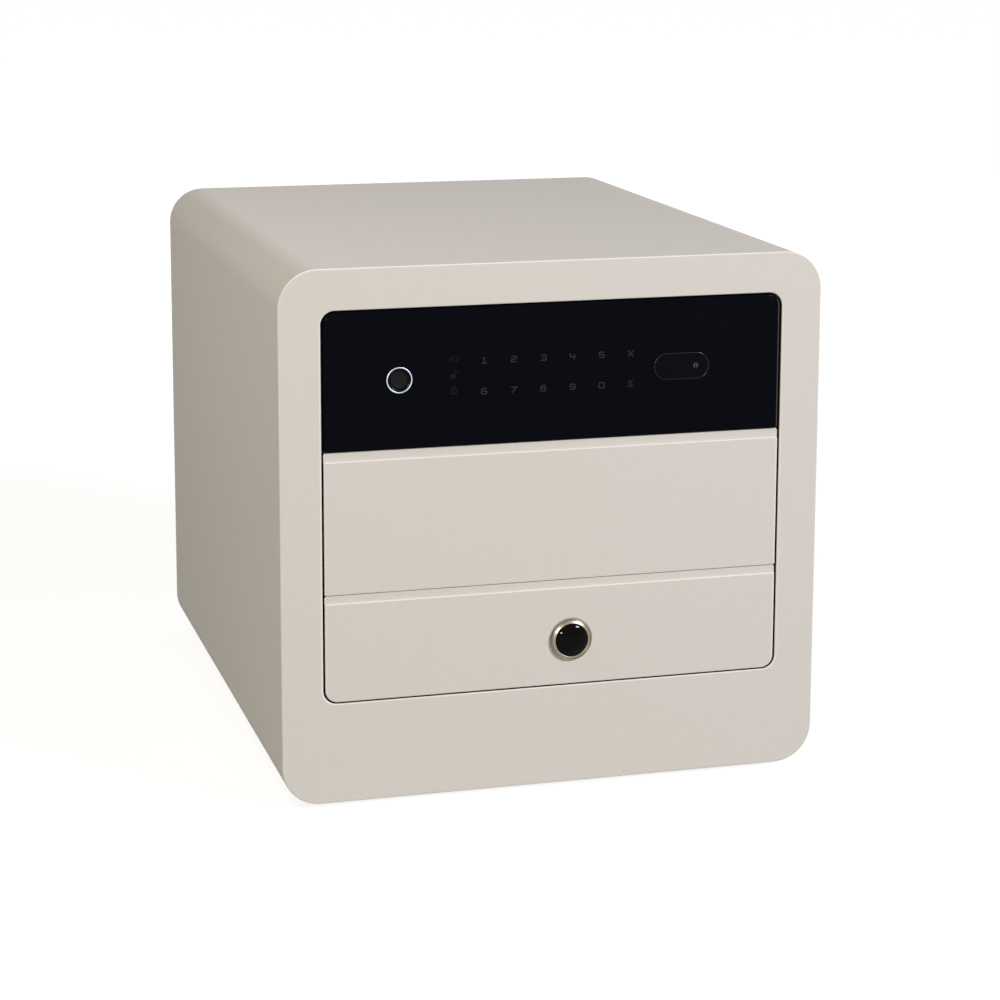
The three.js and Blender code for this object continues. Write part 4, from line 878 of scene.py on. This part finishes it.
# Glyphs on a square of 1 by 1, as lists of lines. The corners are cut.
CUT = 0.12
GLYPHS = {
    "1": [[(0.2, 0.9), (0.5, 0.9), (0.5, 0.1)], [(0.15, 0.1), (0.85, 0.1)]],
    "2": [
        [
            (0.1, 0.9), (0.9 - CUT, 0.9), (0.9, 0.9 - CUT), (0.9, 0.6), (0.9 - CUT, 0.5),
            (0.1 + CUT, 0.5), (0.1, 0.5 - CUT), (0.1, 0.1), (0.9, 0.1),
        ],
    ],
    "3": [
        [
            (0.1, 0.9), (0.9 - CUT, 0.9), (0.9, 0.9 - CUT), (0.9, 0.5 + CUT), (0.9 - CUT, 0.5),
            (0.9, 0.5 - CUT), (0.9, 0.1 + CUT), (0.9 - CUT, 0.1), (0.1, 0.1),
        ],
        [(0.3, 0.5), (0.9 - CUT, 0.5)],
    ],
    "4": [[(0.1, 1.0), (0.1, 0.42 + CUT), (0.1 + CUT, 0.42), (1.0, 0.42)], [(0.75, 0.8), (0.75, 0.0)]],
    "5": [
        [
            (0.9, 0.9), (0.1, 0.9), (0.1, 0.52), (0.9 - CUT, 0.52), (0.9, 0.52 - CUT),
            (0.9, 0.1 + CUT), (0.9 - CUT, 0.1), (0.1, 0.1),
        ],
    ],
    "6": [
        [
            (0.88, 0.9), (0.1 + CUT, 0.9), (0.1, 0.9 - CUT), (0.1, 0.1 + CUT), (0.1 + CUT, 0.1),
            (0.9 - CUT, 0.1), (0.9, 0.1 + CUT), (0.9, 0.52 - CUT), (0.9 - CUT, 0.52), (0.1, 0.52),
        ],
    ],
    "7": [[(0.1, 0.9), (0.95, 0.9), (0.2, 0.0)]],
    "8": [
        [
            (0.16 + CUT, 0.9), (0.84 - CUT, 0.9), (0.84, 0.9 - CUT), (0.84, 0.5 + CUT),
            (0.9, 0.5 - CUT), (0.9, 0.1 + CUT), (0.9 - CUT, 0.1), (0.1 + CUT, 0.1),
            (0.1, 0.1 + CUT), (0.1, 0.5 - CUT), (0.16, 0.5 + CUT), (0.16, 0.9 - CUT),
            (0.16 + CUT, 0.9),
        ],
        [(0.16, 0.52), (0.84, 0.52)],
    ],
    "9": [
        [
            (0.9, 0.48), (0.1 + CUT, 0.48), (0.1, 0.48 + CUT), (0.1, 0.9 - CUT), (0.1 + CUT, 0.9),
            (0.9 - CUT, 0.9), (0.9, 0.9 - CUT), (0.9, 0.1 + CUT), (0.9 - CUT, 0.1), (0.12, 0.1),
        ],
    ],
    "0": [
        [
            (0.1 + CUT, 0.9), (0.9 - CUT, 0.9), (0.9, 0.9 - CUT), (0.9, 0.1 + CUT),
            (0.9 - CUT, 0.1), (0.1 + CUT, 0.1), (0.1, 0.1 + CUT), (0.1, 0.9 - CUT),
            (0.1 + CUT, 0.9),
        ],
    ],
    "x": [[(0.08, 0.95), (0.92, 0.05)], [(0.92, 0.95), (0.08, 0.05)]],
    "#": [
        [(0.32, 0.98), (0.32, 0.02)], [(0.68, 0.98), (0.68, 0.02)],
        [(0.08, 0.94), (0.92, 0.94)], [(0.08, 0.06), (0.92, 0.06)],
    ],
}


def keypad():
    for row, keys in zip(KEY_ROWS, ("12345x", "67890#")):
        for column, key in zip(KEY_COLUMNS, keys):
            outlines = []
            for line in GLYPHS[key]:
                points = [
                    (column + (u - 0.5) * KEY_WIDTH, row + (v - 0.5) * KEY_HEIGHT) for u, v in line
                ]
                outlines += stroke(points, KEY_STROKE * (THIN_STROKE if key == "#" else 1))
            label = {"x": "cancel", "#": "enter"}.get(key, key)
            print_piece(f"key_{label}", outlines, "cabinet", "print_ink")


def status_icons():
    """A battery, an open padlock and a closed padlock."""
    x = ICON_X
    low = BATTERY_H - 0.7
    high = BATTERY_H + 0.7
    cell = round_rect(x - 2.85, x + 2.85, BATTERY_H - 1.7, BATTERY_H + 1.7, 0.9, 4)
    outlines = stroke(cell, 0.55, closed=True)
    for left, right in ((x + 3.0, x + 3.6), (x - 1.6, x - 0.4)):
        outlines.append([(left, low), (right, low), (right, high), (left, high)])
    print_piece("icon_battery", outlines, "cabinet", "dim_ink")
    left = x - 0.8
    top = OPEN_H + 3
    body = round_rect(left - 1.9, left + 1.9, OPEN_H, top, 0.5, 3)
    bow = arc(left + 2.3, top + 0.8, 1.2, 170, 10, 8)
    shackle = [(left + 1.0, top), (left + 1.0, top + 0.8), *bow, (left + 3.5, top + 0.1)]
    print_piece("icon_open", [body, *stroke(shackle, 0.5)], "cabinet", "dim_ink")
    body = round_rect(x - 1.8, x + 1.8, CLOSED_H, CLOSED_H + 3.2, 0.8, 4)
    bow = arc(x, CLOSED_H + 4, 1.2, 180, 0, 8)
    shackle = [(x - 1.2, CLOSED_H + 3), *bow, (x + 1.2, CLOSED_H + 3)]
    outlines = [*stroke(body, 0.8, closed=True), *stroke(shackle, 0.5)]
    print_piece("icon_closed", outlines, "cabinet", "dim_ink")


def fingerprint_reader():
    """A bright bezel with rounded shoulders, a hollow groove and the sunk sensor."""
    r = READER_RADIUS
    inner = r - READER_BEZEL
    seat = SENSOR_RADIUS + SENSOR_GAP
    sink = SENSOR_SINK
    back = Span("fingerprint_ring").d1
    ring = [(seat, back), (r, back), (r, 0.0)]
    for a in (0, 30, 60, 90):
        across = BEZEL_ROUND * math.cos(math.radians(a))
        ring.append((r - BEZEL_ROUND + across, -0.05 - BEZEL_RISE * math.sin(math.radians(a))))
    for a in (0, 30, 60, 90):
        across = BEZEL_ROUND * math.sin(math.radians(a))
        ring.append((inner + BEZEL_ROUND - across, -0.05 - BEZEL_RISE * math.cos(math.radians(a))))
    ring += [(inner, 0.6), (seat + 0.1, sink + 0.1), (seat, sink + 0.2), (seat, back)]
    mesh = turned("reader_ring", READER, ring)
    add("reader_ring", mesh, "cabinet", "polished_steel", ("fingerprint_ring",))
    foot_back = Span("fingerprint_sensor").d1
    foot_front = foot_back - SENSOR_THICKNESS
    disc = []
    for a in range(0, 73, 12):
        t = math.radians(a)
        disc.append((SENSOR_RADIUS * math.sin(t), sink - 0.3 + 0.5 * math.cos(t)))
    disc += [(SENSOR_RADIUS - 0.1, sink - 0.1), (SENSOR_RADIUS, sink), (SENSOR_RADIUS, foot_front)]
    disc += [(inner, foot_front), (inner, foot_back), (0, foot_back)]
    mesh = turned("reader_disc", READER, disc)
    add("reader_disc", mesh, "cabinet", "sensor_black", ("fingerprint_sensor",))
    # a hollow sweep from the bezel in to the sensor, steeper at its foot
    cone = []
    radius = inner - 0.02
    d = 0.3
    step = (radius - seat) / 10
    slope, last = READER_SLOPE
    for i in range(11):
        cone.append((radius - step * i, d))
        d += step * math.tan(math.radians(slope + (last - slope) * i / 10))
    cone += [(seat, sink + 0.15), (radius, sink + 0.15), (radius, 0.3)]
    add("reader_groove", turned("reader_groove", READER, cone), "cabinet", "groove_black_and_painted_shade")


# Push button


def push_button():
    """A satin ring with a groove in painted shade, a darker ring round it as painted shadow, and the
    black dome.
    """
    node = Span("button_rosette")
    cup = BUTTON_RADIUS + CUP_GAP
    lip = ROSETTE_RADIUS
    crest = ROSETTE_CREST
    groove_in, groove_out = ROSETTE_GROOVE
    bore = BARREL_BORE
    profile = [(bore, node.d1), (bore, CUP_DEPTH), (cup, CUP_DEPTH), (cup, 0.35 - crest)]
    profile += [(cup + 0.1, 0.1 - crest), (cup + 0.35, -crest)]
    # the band falls away outwards, a little steeper all the way
    d = -crest
    step = (groove_in - cup - 0.35) / 10
    slope, last = ROSETTE_SLOPE
    for i in range(10):
        d += step * math.tan(math.radians(slope + (last - slope) * i / 9))
        profile.append((cup + 0.35 + step * (i + 1), d))
    profile += [(groove_in + 0.03, d + 0.4), (groove_out - 0.03, d + 0.4), (groove_out, d + 0.1)]
    half = (lip - groove_out) / 2
    profile += arc(lip - half, d + 0.1, half, 180, 360, 10)
    profile += [(lip, 0.6), (lip - 1.3, 0.6), (lip - 1.3, node.d1), (bore, node.d1)]
    rosette = turned("rosette", BUTTON, profile, 128)
    rosette = add("rosette", rosette, "lower_drawer", "satin_nickel", ("button_rosette",))

    def in_groove(face):
        x, d, h = middle_of(face)
        apart = math.hypot(x - BUTTON[0], h - BUTTON[1])
        return d < 0 and (groove_in - 0.02 < apart < groove_out + 0.02 or apart < cup + 0.02)

    # the rosette's groove and cup wall are coloured black as painted shade
    second_material(rosette, "groove_black_and_painted_shade", in_groove)
    # a thin darker ring on the panel round the rosette, painted shadow
    section = [
        (lip - 0.8, -0.3), (lip + 0.3, -0.3), (SHADOW_RING_RADIUS - 0.3, -0.18),
        (SHADOW_RING_RADIUS, -0.05), (SHADOW_RING_RADIUS, 0.05), (lip - 0.8, 0.05),
    ]
    shadow_disc = turned("rosette_painted_shadow_ring", BUTTON, section + section[:1], 128)
    add("rosette_painted_shadow_ring", shadow_disc, "lower_drawer", "shade_coat")
    back = Span("push_button").d1
    # a shallow cap of a ball, with its rim broken
    edge = BUTTON_RADIUS - BUTTON_RIM
    ball = (edge**2 + BUTTON_CROWN**2) / (2 * BUTTON_CROWN)
    reach = math.asin(edge / ball)
    dome = []
    for i in range(33):
        t = reach * i / 32
        dome.append((ball * math.sin(t), ball * (1 - math.cos(t)) - BUTTON_PROUD))
    dome.append((BUTTON_RADIUS, BUTTON_CROWN - BUTTON_PROUD + 0.3))
    dome += [(BUTTON_RADIUS, -0.2), (SKIRT_RADIUS, -0.2), (SKIRT_RADIUS, SKIRT_FOOT)]
    dome += [(STEM_RADIUS, SKIRT_FOOT), (STEM_RADIUS, back), (0, back)]
    mesh = turned("button_dome", BUTTON, dome, 128)
    add("button_dome", mesh, "button", "gloss_black", ("push_button",))


# Inside pieces


def drawer_box(name, node, body, holes=()):
    """A folded box whose rim is hemmed inwards."""
    s = Span(node)

    def outline(inset, steps=8):
        radius = max(BOX_CORNER - inset, 0.5)
        return round_rect(s.x0 + inset, s.x1 - inset, s.d0 + inset, s.d1 - inset, radius, steps)

    hem = HEM_SHEET / 2
    turns = [math.radians(180 * i / 8) for i in range(9)]
    rings = [at_height(outline(inset), s.h0 + rise) for inset, rise in ((0.8, 0), (0.25, 0.25), (0, 0.8))]
    for t in turns:
        rings.append(at_height(outline(hem - hem * math.cos(t)), s.h1 - hem + hem * math.sin(t)))
    rings.append(at_height(outline(HEM_SHEET), s.h1 - HEM_HEIGHT))
    rings.append(at_height(outline(BOX_SHEET), s.h1 - HEM_HEIGHT))
    rings.append(at_height(outline(BOX_SHEET), s.h0 + BOX_SHEET + 1.5))
    rings.append(at_height(outline(BOX_SHEET + 0.45), s.h0 + BOX_SHEET + 0.45))
    rings.append(at_height(outline(BOX_SHEET + 1.5), s.h0 + BOX_SHEET))
    piece = add(name, mesh_of_rings(name, rings), body, "powder_coat", (node,))
    if holes:
        cut_away(piece, *holes)


def drawer_mat(name, node, body):
    """A felt mat with a soft, slightly uneven top."""
    s = Span(node)
    bm = bmesh.new()
    columns, rows = MAT_GRID
    grid = []
    for i in range(rows + 1):
        line = []
        for j in range(columns + 1):
            x = s.x0 + (s.x1 - s.x0) * j / columns
            d = s.d0 + (s.d1 - s.d0) * i / rows
            edge = min(x - s.x0, s.x1 - x, d - s.d0, s.d1 - d)
            drop = MAT_DROP * max(0, 1 - edge / MAT_EDGE) ** 2
            wave = MAT_WAVE * noise.noise(Vector((x, d, s.h0)) * MAT_WAVE_SCALE)
            line.append(bm.verts.new(place(x, d, s.h1 - MAT_DIP - drop + wave)))
        grid.append(line)
    for i in range(rows):
        for j in range(columns):
            bm.faces.new((grid[i][j], grid[i][j + 1], grid[i + 1][j + 1], grid[i + 1][j]))
    rim = grid[0] + [line[-1] for line in grid[1:]]
    rim += grid[-1][-2::-1] + [line[0] for line in grid[-2:0:-1]]
    low = [bm.verts.new(Vector((v.co.x, v.co.y, place(0, 0, s.h0).z))) for v in rim]
    for i in range(len(rim)):
        j = (i + 1) % len(rim)
        bm.faces.new((rim[i], low[i], low[j], rim[j]))
    bm.faces.new(low)
    mat = add(name, finish_mesh(name, bm), body, "felt", (node,))


def foot(name, node):
    """A rubber foot with a chamfered sole and a screw recess."""
    s = Span(node)
    x = (s.x0 + s.x1) / 2
    d = (s.d0 + s.d1) / 2
    r = (s.x1 - s.x0) / 2
    profile = [
        (0, s.h0 + 1.6), (2.6, s.h0 + 1.6), (2.8, s.h0 + 0.2), (3.1, s.h0), (r - 2.2, s.h0),
        (r - 1.6, s.h0 + 0.15), (r - 1.2, s.h0 + 0.6), (r, s.h1 - 0.4), (r, s.h1), (0, s.h1),
    ]
    bm = bmesh.new()
    rows = []
    for radius, h in profile:
        points = circle(x, d, radius) if radius else [(x, d)]
        rows.append([bm.verts.new(p) for p in at_height(points, h)])
    join_rows(bm, rows, 60)
    add(f"rubber_{name}", finish_mesh(name, bm), "cabinet", "rubber", (node,))


def screw_head(name, body, at, normal, radius):
    """A pan head with a cross recess, standing on a point of a face."""
    bm = bmesh.new()
    profile = [(0, 0.55), (0.9, 0.55)]
    for a in (25, 45, 60, 72, 82, 90):
        t = math.radians(a)
        profile.append((radius * math.sin(t), 1.5 * math.cos(t) ** 0.7))
    profile += [(radius, -0.3), (0, -0.3)]
    rows = []
    steps = 24
    for r, z in profile:
        if r < 1e-6:
            rows.append([bm.verts.new((0, 0, z))])
            continue
        row = []
        for i in range(steps):
            turn = 2 * math.pi * i / steps
            cross = 1.0 if r > 2 or i % 6 in (0, 1, 5) else 0.6
            row.append(bm.verts.new((r * cross * math.cos(turn), r * cross * math.sin(turn), z)))
        rows.append(row)
    join_rows(bm, rows, steps)
    turn = Vector(normal).to_track_quat("Z", "Y").to_matrix().to_4x4()
    where = Matrix.Translation(place(*at)) @ turn @ Matrix.Scale(MM, 4)
    bmesh.ops.transform(bm, matrix=where, verts=bm.verts)
    add(name, finish_mesh(name, bm), body, "zinc_steel")


def rail_screws(level, hand, side):
    """Screws in the drawer rail's trough and rivets on the middle rail."""
    rail = Span(f"{level}_{hand}_drawer_rail")
    web = (rail.x0 if side > 0 else rail.x1) + side * RAIL_SHEET
    h = (rail.h0 + rail.h1) / 2
    for i, d in enumerate(RAIL_SCREWS):
        name = f"{level}_{hand}_rail_screw_{i + 1}"
        screw_head(name, f"{level}_drawer", (web, d, h), (side, 0, 0), SCREW_RADIUS)
    middle = Span(f"{level}_{hand}_middle_rail")
    web = middle.x1 if side > 0 else middle.x0
    for i, d in enumerate(RAIL_RIVETS):
        name = f"{level}_{hand}_rail_rivet_{i + 1}"
        screw_head(name, f"{level}_middle_rails", (web, d, h), (side, 0, 0), RIVET_RADIUS)


def inside_pieces():
    stem_hole = drill(BUTTON, STEM_BORE, 10, 24)
    drawer_box("upper_box", "upper_drawer_box", "upper_drawer")
    drawer_box("lower_box", "lower_drawer_box", "lower_drawer", (stem_hole,))
    drawer_mat("upper_mat", "upper_drawer_mat", "upper_drawer")
    drawer_mat("lower_mat", "lower_drawer_mat", "lower_drawer")
    for name in ("front_left", "front_right", "rear_left", "rear_right"):
        foot(name, f"{name}_foot")
    for level in ("upper", "lower"):
        for hand, side in (("left", -1), ("right", 1)):
            rail_screws(level, hand, side)


# Solids that are shown as they are, each with a finish, and all but the rails with broken edges

KEPT = {
    "powder_coat": ["back_plate", "drawer_divider", "left_runner_panel", "right_runner_panel"],
    "zinc_steel": [
        "plinth_deck", "head_floor", "key_cylinder", "key_cam", "bolt_bar", "left_bolt_guide",
        "right_bolt_guide", "motor_bracket", "lock_motor", "ejector_body", "upper_strike_plate",
        "latch_case", "latch_bolt",
    ],
    "brass": ["key_plug", "lock_pinion"],
    "black_plastic": [
        "panel_carrier", "battery_box", "battery_cover", "wiring_loom", "ejector_plunger",
    ],
    "board_green": ["touch_board", "main_board"],
    "cell_wrap": [f"battery_cell_{i}" for i in (1, 2, 3, 4)],
}
RAILS = [
    f"{level}_{hand}_{rail}_rail"
    for level in ("upper", "lower")
    for hand in ("left", "right")
    for rail in ("cabinet", "middle", "drawer")
]


def dress_nodes():
    for material, names in {**KEPT, "zinc_steel": KEPT["zinc_steel"] + RAILS}.items():
        for name in names:
            node = frame["nodes"][name]
            node.data.materials.clear()
            node.data.materials.append(MATERIALS[material])
            if name in RAILS:
                continue
            edge = node.modifiers.new("edge", "BEVEL")
            edge.width = NODE_BEVEL * MM
            edge.segments = 2
            edge.limit_method = "ANGLE"
            edge.angle_limit = math.radians(NODE_BEVEL_ANGLE)
            edge.harden_normals = False


# Stage

AMBIENT = 0.09
FLOOR_REACH = 30  # metres
FLOOR_COLOR = (0.34, 0.325, 0.3, 1)
GLOW_NEAR = 0.85  # the lamps add the rest, and the object's shadow stays
GLOW_FAR = 0.97
GLOW_REACH = (0.5, 2.2)


def seen_directly(nodes, links):
    """1 for rays from the camera, a mirror or a glass, and 0 for all others."""
    path = nodes.new("ShaderNodeLightPath")
    value = path.outputs["Is Camera Ray"]
    for other in ("Is Glossy Ray", "Is Transmission Ray"):
        either = nodes.new("ShaderNodeMath")
        either.operation = "MAXIMUM"
        links.new(value, either.inputs[0])
        links.new(path.outputs[other], either.inputs[1])
        value = either.outputs["Value"]
    return value


def floor():
    mesh = bpy.data.meshes.new("floor")
    corners = [(x * FLOOR_REACH, y * FLOOR_REACH, 0) for x, y in ((-1, -1), (1, -1), (1, 1), (-1, 1))]
    mesh.from_pydata(corners, [], [(0, 1, 2, 3)])
    obj = bpy.data.objects.new("floor", mesh)
    bpy.context.scene.collection.objects.link(obj)
    material = bpy.data.materials.new("floor")
    material.use_nodes = True
    nodes = material.node_tree.nodes
    links = material.node_tree.links
    shader = nodes["Principled BSDF"]
    shader.inputs["Base Color"].default_value = FLOOR_COLOR
    shader.inputs["Roughness"].default_value = 0.9
    shader.inputs["Specular IOR Level"].default_value = 0.0
    glow = nodes.new("ShaderNodeEmission")
    glow.inputs["Color"].default_value = (1, 1, 1, 1)
    away = nodes.new("ShaderNodeVectorMath")
    away.operation = "LENGTH"
    links.new(nodes.new("ShaderNodeTexCoord").outputs["Object"], away.inputs[0])
    grow = nodes.new("ShaderNodeMapRange")
    grow.interpolation_type = "SMOOTHSTEP"
    grow.inputs["From Min"].default_value = GLOW_REACH[0]
    grow.inputs["From Max"].default_value = GLOW_REACH[1]
    grow.inputs["To Min"].default_value = GLOW_NEAR
    grow.inputs["To Max"].default_value = GLOW_FAR
    links.new(away.outputs["Value"], grow.inputs["Value"])
    seen = nodes.new("ShaderNodeMath")
    seen.operation = "MULTIPLY"
    links.new(seen_directly(nodes, links), seen.inputs[0])
    links.new(grow.outputs["Result"], seen.inputs[1])
    links.new(seen.outputs["Value"], glow.inputs["Strength"])
    both = nodes.new("ShaderNodeAddShader")
    links.new(shader.outputs["BSDF"], both.inputs[0])
    links.new(glow.outputs["Emission"], both.inputs[1])
    links.new(both.outputs["Shader"], nodes["Material Output"].inputs["Surface"])
    mesh.materials.append(material)


def world():
    w = bpy.data.worlds.new("studio")
    bpy.context.scene.world = w
    w.use_nodes = True
    nodes = w.node_tree.nodes
    links = w.node_tree.links
    ambient = nodes["Background"]
    ambient.inputs["Color"].default_value = (1, 0.95, 0.84, 1)
    ambient.inputs["Strength"].default_value = AMBIENT
    white = nodes.new("ShaderNodeBackground")
    white.inputs["Color"].default_value = (1, 1, 1, 1)
    white.inputs["Strength"].default_value = 1.0
    mix = nodes.new("ShaderNodeMixShader")
    links.new(seen_directly(nodes, links), mix.inputs["Fac"])
    links.new(ambient.outputs["Background"], mix.inputs[1])
    links.new(white.outputs["Background"], mix.inputs[2])
    links.new(mix.outputs["Shader"], nodes["World Output"].inputs["Surface"])


def lamp(name, at, target, size, power, color=(1, 1, 1), roll=0):
    data = bpy.data.lights.new(name, "AREA")
    data.shape = "RECTANGLE"
    data.size, data.size_y = size
    data.energy = power
    data.color = color
    obj = bpy.data.objects.new(name, data)
    obj.location = at
    turn = (Vector(target) - Vector(at)).to_track_quat("-Z", "Y").to_matrix()
    obj.rotation_euler = (turn @ Matrix.Rotation(math.radians(roll), 3, "Z")).to_euler()
    bpy.context.scene.collection.objects.link(obj)


def lights():
    middle = (0, -0.1, 0.2)
    lamp("key", (2.3, -2.8, 2.0), middle, (0.78, 0.26), 94, (1, 1.01, 1.14), -20)
    lamp("fill", (-1.7, -3.6, 1.12), middle, (0.42, 0.24), 50, (1, 1.0, 0.85), 35)
    lamp("overhead", (-0.98, -0.4, 1.57), middle, (0.7, 0.7), 8.6, (1, 0.94, 0.87))
    lamp("back", (2.5, 2.7, 0.75), middle, (0.6, 0.6), 38, (1, 0.98, 0.95))


def camera():
    data = bpy.data.cameras.new("camera")
    data.lens = CAMERA_LENS
    data.sensor_width = CAMERA_SENSOR
    data.shift_y = CAMERA_SHIFT
    obj = bpy.data.objects.new("camera", data)
    obj.location = CAMERA_PLACE
    obj.rotation_euler = [math.radians(a) for a in CAMERA_TURN]
    bpy.context.scene.collection.objects.link(obj)
    bpy.context.scene.camera = obj


cabinet_body()
opening_lining()
drawer_fronts()
glass_panel()
key_cover()
keypad()
status_icons()
fingerprint_reader()
push_button()
inside_pieces()
dress_nodes()
floor()
world()
lights()
camera()
bpy.context.scene.view_settings.view_transform = "Standard"
